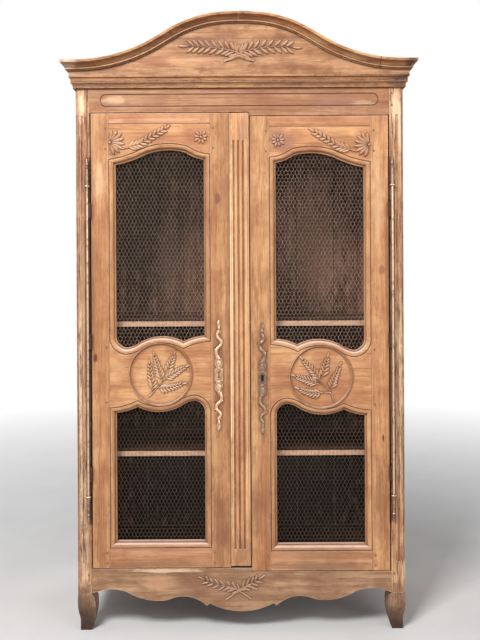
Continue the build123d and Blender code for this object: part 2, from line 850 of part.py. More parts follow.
# Openings, each drawn anticlockwise
with BuildLine() as upper_opening:
    arch_start = (opening_right, arch_lock_z)
    arch_cusp = (opening_right - arch_cusp_run, leaf_top - arch_cusp_margin)
    arch_shoulder = (opening_left + arch_shoulder_run, leaf_top - arch_shoulder_margin)
    arch_end = (opening_left, arch_hinge_z)
    middle_edge(1)
    Line((opening_right, middle_rail_z + lock_rise), arch_start)
    SagittaArc(arch_start, arch_cusp, arch_lock_drop)
    SagittaArc(arch_cusp, arch_shoulder, -arch_crown_rise)
    SagittaArc(arch_shoulder, arch_end, arch_shoulder_drop)
    Line(arch_end, (opening_left, middle_rail_z + horn_rise))

with BuildLine() as lower_opening:
    middle_edge(-1)
    Line((opening_left, middle_rail_z - lock_rise), (opening_left, opening_bottom))
    Line((opening_left, opening_bottom), (opening_right, opening_bottom))
    Line((opening_right, opening_bottom), (opening_right, middle_rail_z - horn_rise))


def widened(opening, amount, mode=Mode.ADD):
    """Face of an opening with its outline moved outwards by an amount, its corners mitred."""

    def outward(side, place):
        along = side % place
        return Vector(along.Y, -along.X)

    sides = opening.edges()
    corners = []
    for before, after in zip(sides[-1:] + sides[:-1], sides):
        turn_in, turn_out = outward(before, 1), outward(after, 0)
        corners.append((after @ 0) + (turn_in + turn_out) * (amount / (1 + turn_in.dot(turn_out))))
    with BuildLine() as outline:
        for side, start, end in zip(sides, corners, corners[1:] + corners[:1]):
            if side.geom_type == GeomType.LINE:
                Line(start, end)
            else:
                ThreePointArc(start, (side @ 0.5) + outward(side, 0.5) * amount, end)
    make_face(outline.edges(), mode=mode)


with BuildPart() as leaf_blank:
    with BuildSketch(front_plane):
        with Locations((-(leaf_outer + leaf_inner) / 2, (leaf_bottom + leaf_top) / 2)):
            Rectangle(leaf_outer - leaf_inner, leaf_top - leaf_bottom)
        for opening in (upper_opening, lower_opening):
            widened(opening, 0, Mode.SUBTRACT)
    extrude(amount=-leaf_thickness)
    # Moulding round the openings: a fillet, an ovolo and a quirk
    for opening in (upper_opening, lower_opening):
        with BuildSketch(front_plane):
            widened(opening, moulding_step)
        extrude(amount=-moulding_depth, mode=Mode.SUBTRACT)
        for turn in (0, 30, 60, 90):
            round_depth = moulding_round * (1 - math.cos(math.radians(turn)))
            round_reach = moulding_round * (1 - math.sin(math.radians(turn)))
            with BuildSketch(front_plane.offset(-round_depth)):
                widened(opening, moulding_step + round_reach)
        loft(ruled=True, mode=Mode.SUBTRACT)
        with BuildSketch(front_plane):
            widened(opening, moulding_width)
            widened(opening, moulding_width - quirk_width, Mode.SUBTRACT)
        extrude(amount=-quirk_depth, mode=Mode.SUBTRACT)

# Stiles seen square on; they meet the rails on the mitres of the moulding
hinge_stile_outline = (
    (-leaf_outer, leaf_bottom),
    (flat_left, leaf_bottom),
    (flat_left, opening_bottom - moulding_width),
    (opening_left, opening_bottom),
    (opening_left, middle_rail_z - lock_rise),
    (flat_left, middle_rail_z - lock_rise + moulding_width),
    (flat_left, middle_rail_z + horn_rise),
    (opening_left, middle_rail_z + horn_rise),
    (opening_left, arch_hinge_z),
    (flat_left, arch_hinge_z + moulding_width),
    (flat_left, leaf_top),
    (-leaf_outer, leaf_top),
)
lock_stile_outline = (
    (-leaf_inner, leaf_bottom),
    (flat_right, leaf_bottom),
    (flat_right, opening_bottom - moulding_width),
    (opening_right, opening_bottom),
    (opening_right, middle_rail_z - horn_rise),
    (flat_right, middle_rail_z - horn_rise),
    (flat_right, middle_rail_z + lock_rise - moulding_width),
    (opening_right, middle_rail_z + lock_rise),
    (opening_right, arch_lock_z),
    (flat_right, arch_lock_z + moulding_width),
    (flat_right, leaf_top),
    (-leaf_inner, leaf_top),
)
# Rails: z span of the piece, z span at its shoulders
lower_cut = (opening_bottom + middle_rail_z - horn_rise) / 2
upper_cut = (middle_rail_z + horn_rise + arch_hinge_z) / 2
leaf_rails = {
    "bottom_rail": ((leaf_bottom, lower_cut), (leaf_bottom, opening_bottom - moulding_width)),
    "middle_rail": (
        (lower_cut, upper_cut),
        (middle_rail_z - lock_rise + moulding_width, middle_rail_z + lock_rise - moulding_width),
    ),
    "top_rail": ((upper_cut, top_strip_bottom), (arch_lock_z + moulding_width, top_strip_bottom)),
}
leaf_pegs = [
    (peg_x, peg_z)
    for piece_span, shoulder_span in leaf_rails.values()
    for peg_z in around(shoulder_span, -leaf_tenon_shoulder - peg_inset)
    for peg_x in (hinge_peg_x, lock_peg_x)
]


def leaf_tenons(shoulder_span, gap, mode):
    """Tenons at both ends of a leaf's rail, or the mortises that take them."""
    for shoulder, way in ((flat_left, -1), (flat_right, 1)):
        block(
            sorted((shoulder, shoulder + way * (leaf_tenon_length + gap))),
            around(tenon_span((front, leaf_back), leaf_tenon_thickness), gap),
            around(shoulder_span, gap - leaf_tenon_shoulder),
            mode,
        )


def stile_view(outline):
    """A stile seen square on, on the front of the leaf."""
    with BuildSketch(front_plane) as view:
        with BuildLine():
            Polyline(*outline, close=True)
        make_face()
    return view.sketch


def make_stile(outline):
    """A stile of the left leaf with its mortises and peg holes."""
    with BuildPart() as stile:
        add(leaf_blank.part)
        extrude(stile_view(outline), amount=-leaf_thickness, mode=Mode.INTERSECT)
        for piece_span, shoulder_span in leaf_rails.values():
            leaf_tenons(shoulder_span, tenon_clearance, Mode.SUBTRACT)
        peg_holes(leaf_pegs)
    return stile.part


def keyhole(across, up, mode=Mode.ADD):
    """Keyhole: two rounds joined by a slot."""
    with Locations((across, up)):
        Rectangle(keyhole_slot, keyhole_length - 2 * keyhole_radius, mode=mode)
        with Locations((0, keyhole_length / 2 - keyhole_radius), (0, keyhole_radius - keyhole_length / 2)):
            Circle(keyhole_radius, mode=mode)


save_leaf_pair("hinge_stile", make_stile(hinge_stile_outline))
lock_stile = make_stile(lock_stile_outline)
save("left_lock_stile", lock_stile)

with BuildPart() as keyed_stile:
    add(right_leaf(lock_stile))
    with BuildSketch(front_plane):
        keyhole(plate_x, lock_z)
    extrude(amount=-leaf_thickness, mode=Mode.SUBTRACT)
save("right_lock_stile", keyed_stile.part)

for rail_name, (piece_span, shoulder_span) in leaf_rails.items():
    with BuildPart() as leaf_rail:
        add(leaf_blank.part)
        block((flat_left, flat_right), (front, leaf_back), piece_span, Mode.INTERSECT)
        for outline in (hinge_stile_outline, lock_stile_outline):
            extrude(stile_view(outline), amount=-leaf_thickness, mode=Mode.SUBTRACT)
        leaf_tenons(shoulder_span, 0, Mode.ADD)
        peg_holes(leaf_pegs)
        if rail_name == "middle_rail":
            # Sunk round field of the medallion
            with BuildSketch(front_plane):
                with Locations((opening_middle, middle_rail_z)):
                    Circle(medallion_radius)
            extrude(amount=-medallion_depth, taper=medallion_taper, mode=Mode.SUBTRACT)
    save_leaf_pair(rail_name, leaf_rail.part)

with BuildPart() as top_strip:
    block((flat_left, flat_right), (front, leaf_back), (top_strip_bottom, leaf_top))
save_leaf_pair("top_strip", top_strip.part)

with BuildPart() as door_pegs:
    drive_pegs(leaf_pegs, peg_radius, peg_proud, Mode.ADD)
save_leaf_pair("door_pegs", door_pegs.part)

with BuildPart() as meeting_strip:
    strip_front = front - strip_proud
    strip_z = (leaf_bottom + strip_rise, leaf_top - strip_gap)
    block((-leaf_inner, strip_inner), (strip_front, leaf_back), strip_z)
    strip_middle = (strip_inner - leaf_inner) / 2
    fillet(edges().filter_by(Axis.Z).group_by(Axis.Y)[0], radius=strip_bead)
    # Quirks inside the beads
    for sign in both_sides:
        quirk_x = strip_middle + sign * (strip_width / 2 - 2 * strip_bead)
        block(
            sorted((quirk_x, quirk_x - sign * strip_quirk)),
            (strip_front, strip_front + strip_quirk),
            strip_z,
            Mode.SUBTRACT,
        )
    # Three stopped flutes
    strip_flute_bottom = leaf_bottom + strip_flute_bottom_margin
    strip_flute_top = leaf_top - strip_flute_top_margin
    for step in (-1, 0, 1):
        flute_x = strip_middle + strip_flute_offset + step * strip_flute_pitch
        flute_y = strip_front - strip_flute_radius + strip_flute_depth
        with Locations((flute_x, flute_y, strip_flute_bottom)):
            Cylinder(
                strip_flute_radius,
                strip_flute_top - strip_flute_bottom,
                align=(Align.CENTER, Align.CENTER, Align.MIN),
                mode=Mode.SUBTRACT,
            )
        with Locations((flute_x, flute_y, strip_flute_bottom), (flute_x, flute_y, strip_flute_top)):
            Sphere(strip_flute_radius, mode=Mode.SUBTRACT)
save("meeting_strip", meeting_strip.part)

# ---------------------------------------------------------------- leaves: wire netting

net_columns = math.ceil(half_opening / net_pitch) + 1

with BuildSketch() as mesh_hole:
    with BuildLine():
        Polyline(
            (0, net_row - net_twist / 2),
            (net_pitch / 2, net_twist / 2),
            (net_pitch / 2, -net_twist / 2),
            (0, net_twist / 2 - net_row),
            (-net_pitch / 2, -net_twist / 2),
            (-net_pitch / 2, net_twist / 2),
            close=True,
        )
    make_face()
    offset(amount=-net_wire / 2, kind=Kind.INTERSECTION)

for net_name, opening in (("upper_netting", upper_opening), ("lower_netting", lower_opening)):
    box = opening.line.bounding_box()
    first_row = math.floor((box.min.Y - middle_rail_z) / net_row)
    last_row = math.ceil((box.max.Y - middle_rail_z) / net_row)
    places = [
        (opening_middle + (column + row % 2 / 2) * net_pitch, middle_rail_z + row * net_row)
        for row in range(first_row, last_row + 1)
        for column in range(-net_columns, net_columns + 1)
    ]
    with BuildSketch() as holes:
        with Locations(*places):
            add(mesh_hole.sketch)
        widened(opening, 0, Mode.INTERSECT)
    with BuildPart() as netting:
        with BuildSketch(Plane.XZ.offset(-leaf_back)):
            widened(opening, net_lap)
            add([hole for hole in holes.faces() if hole.area > net_least_hole], mode=Mode.SUBTRACT)
        extrude(amount=-net_thickness)
    save_leaf_pair(net_name, netting.part)

# ---------------------------------------------------------------- hinges

with BuildPart() as hinge_rod:
    with Locations((-hinge_x, hinge_y, rod_bottom + rod_end_play)):
        Cylinder(
            rod_radius,
            rod_top - rod_bottom - 2 * rod_end_play,
            align=(Align.CENTER, Align.CENTER, Align.MIN),
        )
    # Three wings, each bent round the edge of the leaf
    for wing_z in wing_heights:
        wing_span = (wing_z - wing_height / 2, wing_z + wing_height / 2)
        wing_front = hinge_y - wing_thickness / 2
        block((-hinge_x, -leaf_outer), (wing_front, wing_front + wing_thickness), wing_span)
        block((-leaf_outer - wing_thickness, -leaf_outer), (wing_front, front + wing_depth), wing_span)
    with Locations((-hinge_x, hinge_y, rod_bottom), (-hinge_x, hinge_y, rod_top - rod_end_play - pin_length)):
        Cylinder(
            pin_radius + pin_clearance,
            pin_length + rod_end_play,
            align=(Align.CENTER, Align.CENTER, Align.MIN),
            mode=Mode.SUBTRACT,
        )
save_pair("hinge_rod", hinge_rod.part)


def pintle_section():
    """Half section of a pintle: pin, collar, tapered barrel, bead and pointed finial, from the rod's end."""
    barrel_end = collar_height + barrel_length
    bead_end = barrel_end + bead_radius
    waist_end = bead_end + bead_radius
    tip = barrel_end + finial_length
    bead = (bead_radius, (barrel_end + bead_end) / 2)
    waist = (pin_radius, (bead_end + waist_end) / 2)
    drop = (barrel_neck * 0.8, (waist_end + tip) / 2)
    with BuildLine() as outline:
        Polyline((0, -pin_length), (pin_radius, -pin_length), (pin_radius, 0), (collar_radius, 0))
        Polyline((collar_radius, 0), (collar_radius, collar_height), (barrel_radius, collar_height))
        Polyline((barrel_radius, collar_height), (barrel_neck, barrel_end))
        ThreePointArc((barrel_neck, barrel_end), bead, (barrel_neck, bead_end))
        ThreePointArc((barrel_neck, bead_end), waist, (barrel_neck, waist_end))
        ThreePointArc((barrel_neck, waist_end), drop, (tip_radius, tip))
        Polyline((tip_radius, tip), (0, tip), (0, -pin_length))
    make_face(outline.edges())


with BuildPart() as pintles:
    for pintle_z, up in ((rod_top, 1), (rod_bottom, -1)):
        upright = Plane(origin=(-hinge_x, hinge_y, pintle_z), x_dir=(1, 0, 0), z_dir=(0, -up, 0))
        with BuildSketch(upright) as section:
            pintle_section()
        revolve(section.sketch, axis=Axis((-hinge_x, hinge_y, 0), (0, 0, 1)))
    for wing_z in wing_middles:
        post_wing(wing_z, 0, Mode.ADD)
save_both("hinge_pintles", pintles.part)

# ---------------------------------------------------------------- lock plates

def plate_scrolls(turn, middle):
    """Half of a plate: pear, hooked stem, ring and leaf tip; turn=-1 turns it about the keyhole."""

    def at(across, up):
        return (middle[0] + turn * across, middle[1] + turn * up)

    with Locations(at(0, pear_z)):
        Ellipse(plate_width / 2, pear_height / 2)
    hook = at(stem_points[0][0] - hook_radius, stem_points[0][1] + hook_radius)
    ring = at(0, ring_z)
    with BuildLine() as stem:
        Spline(*[at(*point) for point in stem_points], ring)
    trace(stem.line, line_width=stem_width)
    with Locations(hook):
        Circle(hook_radius)
    with Locations(ring):
        Circle(ring_radius)
    tip_start = at(0, ring_z + ring_radius / 2)
    tip_middle = (ring_z + ring_radius / 2 + plate_height / 2) / 2
    tip_end = at(tip_width * 0.25, plate_height / 2)
    with BuildLine() as leaf:
        ThreePointArc(tip_start, at(tip_width * 0.7, tip_middle), tip_end)
        ThreePointArc(tip_end, at(-tip_width * 0.3, tip_middle), tip_start)
    make_face(leaf.edges())
    with Locations(hook, ring):
        Circle(ring_hole, mode=Mode.SUBTRACT)


with BuildPart() as escutcheon:
    plate_middle = (-plate_x, plate_z)
    with BuildSketch(front_plane):
        for turn in both_sides:
            plate_scrolls(turn, plate_middle)
        with Locations(plate_middle):
            RectangleRounded(plate_width, shield_height, shield_round)
        keyhole(*plate_middle, mode=Mode.SUBTRACT)
    extrude(amount=plate_thickness)
save_leaf_pair("escutcheon", escutcheon.part)

# ---------------------------------------------------------------- lock and bolts

with BuildPart() as lock_case:
    case_middle = lock_z + case_rise
    case_z = (case_middle - case_height / 2, case_middle + case_height / 2)
    block(lock_x, (leaf_back, leaf_back + case_thickness), case_z)
    block(
        (lock_x[0], lock_x[1] - case_wall),
        around(lock_bolt_y, bolt_clearance),
        around(lock_bolt_z, bolt_clearance),
        Mode.SUBTRACT,
    )
    with BuildSketch(Plane.XZ.offset(-leaf_back)):
        keyhole(plate_x, lock_z)
    extrude(amount=case_wall - case_thickness, mode=Mode.SUBTRACT)
save("lock_case", lock_case.part)

with BuildPart() as lock_bolt:
    bolt_tip = lock_x[0] + lock_bolt_recess
    block((bolt_tip, bolt_tip + lock_bolt_length), lock_bolt_y, lock_bolt_z)
    chamfer(edges().filter_by(Axis.Z).group_by(Axis.X)[0], length=bolt_nose)
save("lock_bolt", lock_bolt.part)


def bolt_on_leaf(end, way):
    """Sliding bolt on the back of the left leaf; `way` points from its body to its end."""
    block(bolt_x, bolt_y, sorted((end, end - way * bolt_length)))
    with BuildSketch(Plane.XZ.offset(-bolt_y[1])) as knob:
        with Locations((bolt_middle, end - way * bolt_length / 2)):
            Circle(bolt_knob_radius)
    extrude(knob.sketch, amount=-bolt_knob_length)


bolt_ends = {"top_bolt": (top_bolt_end, 1), "bottom_bolt": (bottom_bolt_end, -1)}
for bolt_name, (end, way) in bolt_ends.items():
    with BuildPart() as bolt:
        bolt_on_leaf(end, way)
    save(bolt_name, bolt.part)

with BuildPart() as staples:
    bridge_y = (leaf_back, bolt_y[1] + bolt_clearance)
    for end, way in bolt_ends.values():
        for along in (staple_inset, bolt_length - staple_inset):
            staple_z = around((end - way * along, end - way * along), staple_height / 2)
            bridge_x = around(bolt_x, bolt_clearance)
            block(around(bridge_x, staple_thickness), (leaf_back, bridge_y[1] + staple_thickness), staple_z)
            block(bridge_x, bridge_y, staple_z, Mode.SUBTRACT)
    # Keeper of the lock, on the back of the meeting strip
    keeper_y = around(lock_bolt_y, bolt_clearance)
    keeper_z = around(lock_bolt_z, bolt_clearance)
    block(keeper_x, (leaf_back, keeper_y[1] + keeper_wall), around(keeper_z, keeper_wall))
    block(keeper_x, keeper_y, keeper_z, Mode.SUBTRACT)
save("left_leaf_staples", staples.part)
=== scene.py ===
"""Looks of a two-door armoire: waxed boards, carving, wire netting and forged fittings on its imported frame."""

import logging
import math
from collections.abc import Callable, Iterable, Sequence
from dataclasses import dataclass, field, replace
from enum import Enum

import bmesh
import bpy
from mathutils import Matrix, Vector


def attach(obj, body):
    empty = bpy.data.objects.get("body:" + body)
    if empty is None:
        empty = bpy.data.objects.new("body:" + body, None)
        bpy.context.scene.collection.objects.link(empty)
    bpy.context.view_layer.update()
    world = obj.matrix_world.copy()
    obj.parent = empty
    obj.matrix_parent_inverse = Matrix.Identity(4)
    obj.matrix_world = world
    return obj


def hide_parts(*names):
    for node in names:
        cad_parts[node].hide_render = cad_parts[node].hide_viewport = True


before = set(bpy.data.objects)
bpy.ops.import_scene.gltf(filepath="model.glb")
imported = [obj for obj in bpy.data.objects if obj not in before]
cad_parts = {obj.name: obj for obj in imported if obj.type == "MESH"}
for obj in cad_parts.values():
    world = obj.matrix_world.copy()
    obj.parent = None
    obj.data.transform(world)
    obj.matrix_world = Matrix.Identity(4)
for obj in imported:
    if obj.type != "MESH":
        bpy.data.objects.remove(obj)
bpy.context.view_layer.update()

LOG = logging.getLogger("armoire")
MM = 0.001
Point = tuple[float, float]
Colour = tuple[float, float, float]
Object, Mesh, Material, Socket = bpy.types.Object, bpy.types.Mesh, bpy.types.Material, bpy.types.NodeSocket
Part = tuple[Mesh, Matrix]
# Sizes in mm. The right leaf's work sits lower than the left one's.
LEAF_DROP = 14.0
CASE_FACE = -225.0
# A side's name, its sign along X and how far its leaf's work is lowered.
SIDES = (("left", -1, 0.0), ("right", 1, LEAF_DROP))


# ---------------------------------------------------------------- shader graphs


def tint(red: float, green: float, blue: float) -> tuple[float, float, float, float]:
    """A screen colour, 0 to 255, as the linear colour that a socket takes."""
    shares = [value / 255 for value in (red, green, blue)]
    return (*(share / 12.92 if share <= 0.04045 else ((share + 0.055) / 1.055) ** 2.4 for share in shares), 1.0)


class Graph:
    """A material's shader nodes; a colour is a screen colour, 0 to 255, or a socket."""

    def __init__(self, name: str) -> None:
        """Start a material with a Principled surface.

        Args:
            name: The material's name.
        """
        self.material = bpy.data.materials.new(name)
        self.material.use_nodes = True
        self.tree = self.material.node_tree
        self.surface = next(node for node in self.tree.nodes if node.type == "BSDF_PRINCIPLED")
        self.place = self.node("ShaderNodeTexCoord").outputs["Object"]

    def node(self, kind: str, inputs: dict | None = None, **settings: object) -> bpy.types.Node:
        """Add a node.

        Args:
            kind: Its type.
            inputs: Numbers, colours or sockets by input name or number.
            settings: Its other properties.

        Returns:
            The node.
        """
        made = self.tree.nodes.new(kind)
        for key, value in settings.items():
            setattr(made, key, value)
        for key, value in (inputs or {}).items():
            self.feed(made.inputs[key], value)
        return made

    def feed(self, socket: Socket, value: object) -> None:
        """Link a socket to another, or set its number.

        Args:
            socket: The input.
            value: A socket or a number.
        """
        if isinstance(value, Socket):
            self.tree.links.new(value, socket)
        else:
            socket.default_value = value

    def maths(self, operation: str, *values: object) -> Socket:
        """A Math node on numbers or sockets."""
        return self.node("ShaderNodeMath", dict(enumerate(values)), operation=operation).outputs[0]

    def times(self, first: object, second: object) -> Socket:
        """Two numbers or sockets multiplied."""
        return self.maths("MULTIPLY", first, second)

    def vector(self, operation: str, *values: object) -> bpy.types.Node:
        """A Vector Math node on vectors or sockets."""
        return self.node("ShaderNodeVectorMath", dict(enumerate(values)), operation=operation)

    def along(self, axis: int) -> Socket:
        """One coordinate of the place: 0 for X, 1 for Y, 2 for Z."""
        return self.node("ShaderNodeSeparateXYZ", {0: self.place}).outputs[axis]

    def facing(self, axis: int, sign: float = 1.0) -> Socket:
        """One coordinate of the surface's normal.

        Args:
            axis: 0 for X, 1 for Y, 2 for Z.
            sign: -1 for its opposite.

        Returns:
            Its socket.
        """
        normal = self.node("ShaderNodeNewGeometry").outputs["Normal"]
        part = self.node("ShaderNodeSeparateXYZ", {0: normal}).outputs[axis]
        return part if sign > 0 else self.times(part, sign)

    def mapping(
        self,
        vector: Socket,
        scale: Sequence[float] = (1, 1, 1),
        rotation: Sequence[float] = (0, 0, 0),
        location: Sequence[float] = (0, 0, 0),
    ) -> Socket:
        """Scale, turn and shift a vector."""
        inputs = {"Vector": vector, "Location": location, "Rotation": rotation, "Scale": scale}
        return self.node("ShaderNodeMapping", inputs).outputs[0]

    def noise(self, vector: Socket, scale: Sequence[float], detail: float = 2.0, rough: float = 0.5) -> Socket:
        """Noise around one half; its scale is in cells per metre along X, Y and Z."""
        inputs = {"Vector": self.mapping(vector, scale), "Scale": 1.0, "Detail": detail, "Roughness": rough}
        return self.node("ShaderNodeTexNoise", inputs).outputs[0]

    def ramp(self, value: Socket, *stops: Point) -> Socket:
        """Turn a number into another.

        Args:
            value: The number.
            stops: The straight pieces' ends, each a number and what it turns into.

        Returns:
            The new number.
        """
        made = self.node("ShaderNodeValToRGB", {0: value})
        elements = made.color_ramp.elements
        while len(elements) < len(stops):
            elements.new(0.5)
        for element, (position, level) in zip(elements, stops):
            element.position = position
            element.color = (level, level, level, 1)
        return made.outputs[0]

    def mix(self, factor: object, first: object, second: object) -> Socket:
        """Blend two colours.

        Args:
            factor: Share of the second.
            first: Colour or socket.
            second: Colour or socket.

        Returns:
            The blended colour.
        """
        made = self.node("ShaderNodeMix", {0: factor}, data_type="RGBA", blend_type="MIX", clamp_factor=True)
        for index, colour in ((6, first), (7, second)):
            self.feed(made.inputs[index], colour if isinstance(colour, Socket) else tint(*colour))
        return made.outputs[2]

    def wash(self, colour: object, over: object, value: Socket, *stops: Point) -> Socket:
        """Lay a colour over another where a ramp of a value says."""
        return self.mix(self.ramp(value, *stops), colour, over)

    def hollows(self, distance: float) -> Socket:
        """How open a place is: 1 on a flat face, less in a hollow or beside something proud."""
        return self.node("ShaderNodeAmbientOcclusion", {"Distance": distance}, samples=6).outputs["AO"]

    def edges(self, radius: float) -> Socket:
        """How near a place is to an edge of the piece.

        Args:
            radius: How far in from the edge it is felt, in metres.

        Returns:
            0 on a face, up to 1 on the edge.
        """
        rounded = self.node("ShaderNodeBevel", {"Radius": radius}, samples=4).outputs[0]
        true_normal = self.node("ShaderNodeNewGeometry").outputs["True Normal"]
        same = self.vector("DOT_PRODUCT", rounded, true_normal).outputs["Value"]
        return self.ramp(same, (0.80, 1.0), (0.995, 0.0))

    def spot(self, place: Point, reach: Point, ragged: Socket) -> Socket:
        """A ragged oval seen from the front.

        Args:
            place: X and Z of its middle, in mm.
            reach: Its half width and half height, in mm.
            ragged: A noise that frays its edge.

        Returns:
            1 inside, 0 outside.
        """
        scale = (1 / (reach[0] * MM), 0, 1 / (reach[1] * MM))
        middle = (-place[0] * MM * scale[0], 0, -place[1] * MM * scale[2])
        centred = self.mapping(self.place, scale, location=middle)
        away = self.maths("ADD", self.vector("LENGTH", centred).outputs["Value"], ragged)
        return self.ramp(away, (0.45, 1.0), (1.0, 0.0))

    def near(self, axis: int, place: float, reach: float) -> Socket:
        """A thin soft line where one coordinate has a value.

        Args:
            axis: 0 for X, 1 for Y, 2 for Z.
            place: The coordinate, in mm.
            reach: Half the line's width, in mm.

        Returns:
            1 on the line, 0 away from it.
        """
        away = self.maths("ABSOLUTE", self.maths("SUBTRACT", self.along(axis), place * MM))
        return self.maths("SUBTRACT", 1.0, self.maths("MINIMUM", self.maths("DIVIDE", away, reach * MM), 1.0))

    def finish(
        self,
        colour: Socket,
        roughness: object,
        height: Socket | None = None,
        relief: float = 0.0004,
        round_edge: float = 0.0,
        **sockets: float,
    ) -> Material:
        """Connect the surface.

        Args:
            colour: Base colour.
            roughness: Roughness.
            height: Bump height, 0 to 1.
            relief: Depth of the bump, in metres.
            round_edge: Radius that softens the edges, in metres.
            sockets: Other numbers of the surface, with underscores for spaces.

        Returns:
            The material.
        """
        self.feed(self.surface.inputs["Base Color"], colour)
        self.feed(self.surface.inputs["Roughness"], roughness)
        for key, value in sockets.items():
            self.surface.inputs[key.replace("_", " ")].default_value = value
        inputs = {"Strength": 1.0, "Distance": relief}
        if height is not None:
            inputs["Height"] = height
        if round_edge:
            inputs["Normal"] = self.node("ShaderNodeBevel", {"Radius": round_edge}, samples=4).outputs[0]
        self.feed(self.surface.inputs["Normal"], self.node("ShaderNodeBump", inputs).outputs[0])
        return self.material


# ---------------------------------------------------------------- finishes


DARK = (92, 54, 35)
SMOKE = (128, 84, 60)
CREAM = (248, 210, 170)
RUSSET = (152, 96, 68)
BRUISE = (158, 112, 96)
# Near black painted shade inside the case
SOOT = (28, 19, 16)
# Dirt of the seams, also painted shade along a hinge rod, in a flute and by the strip's edges
SEAM_DIRT = (82, 44, 27)
# Pale of worn edges, also a painted highlight on rounded mouldings
WORN_EDGE = (246, 206, 170)
# Pale of dust, also painted top light on upward faces
DUST = (240, 210, 194)


class Grain(Enum):
    """Which way the fibres of a board run, as the turn that lays them along Z."""

    UPRIGHT = (0.0, 0.0, 0.0)
    CROSS = (0.0, -math.pi / 2, 0.0)
    DEEP = (math.pi / 2, 0.0, 0.0)


class Tone(Enum):
    """Colours of a board: pale earlywood, middle, deep latewood, and the clouds of its old finish."""

    HONEY = ((231, 176, 125), (208, 150, 103), (144, 90, 54), (172, 107, 72))
    ROSE = ((220, 165, 122), (198, 139, 98), (138, 85, 54), (168, 105, 74))
    POST = ((240, 204, 166), (194, 143, 104), (98, 60, 38), (150, 94, 64))
    CORNICE = ((204, 147, 94), (168, 112, 68), (96, 56, 32), (126, 77, 45))
    CREST = ((222, 169, 124), (194, 139, 96), (130, 80, 50), (146, 93, 62))
    APRON = ((206, 164, 128), (172, 131, 98), (108, 72, 50), (142, 100, 74))
    FOOT = ((200, 160, 130), (158, 118, 92), (90, 60, 44), (120, 84, 64))
    INNER = ((150, 106, 82), (118, 80, 62), (66, 42, 32), (92, 60, 46))
    BACK = ((146, 106, 86), (106, 74, 59), (46, 30, 24), (68, 45, 36))


@dataclass(frozen=True)
class Mark:
    """A knot, bruise, stain, worn place, or patch of painted light or shade on a board: X and Z of its middle and its
    half sizes, in mm.
    """

    x: float
    z: float
    half_width: float
    half_height: float
    colour: Colour
    strength: float


@dataclass(frozen=True)
class Seam:
    """A dark line, in mm: dirt where two pieces meet or where a quirk runs, or painted shade beside a hinge rod, in a
    flute or by the meeting strip's edges.

    Its axis is 0 for X, 1 for Y and 2 for Z, and span limits its height.
    """

    axis: int
    place: float
    reach: float = 3.4
    strength: float = 1.0
    span: Point | None = None
    colour: Colour = SEAM_DIRT


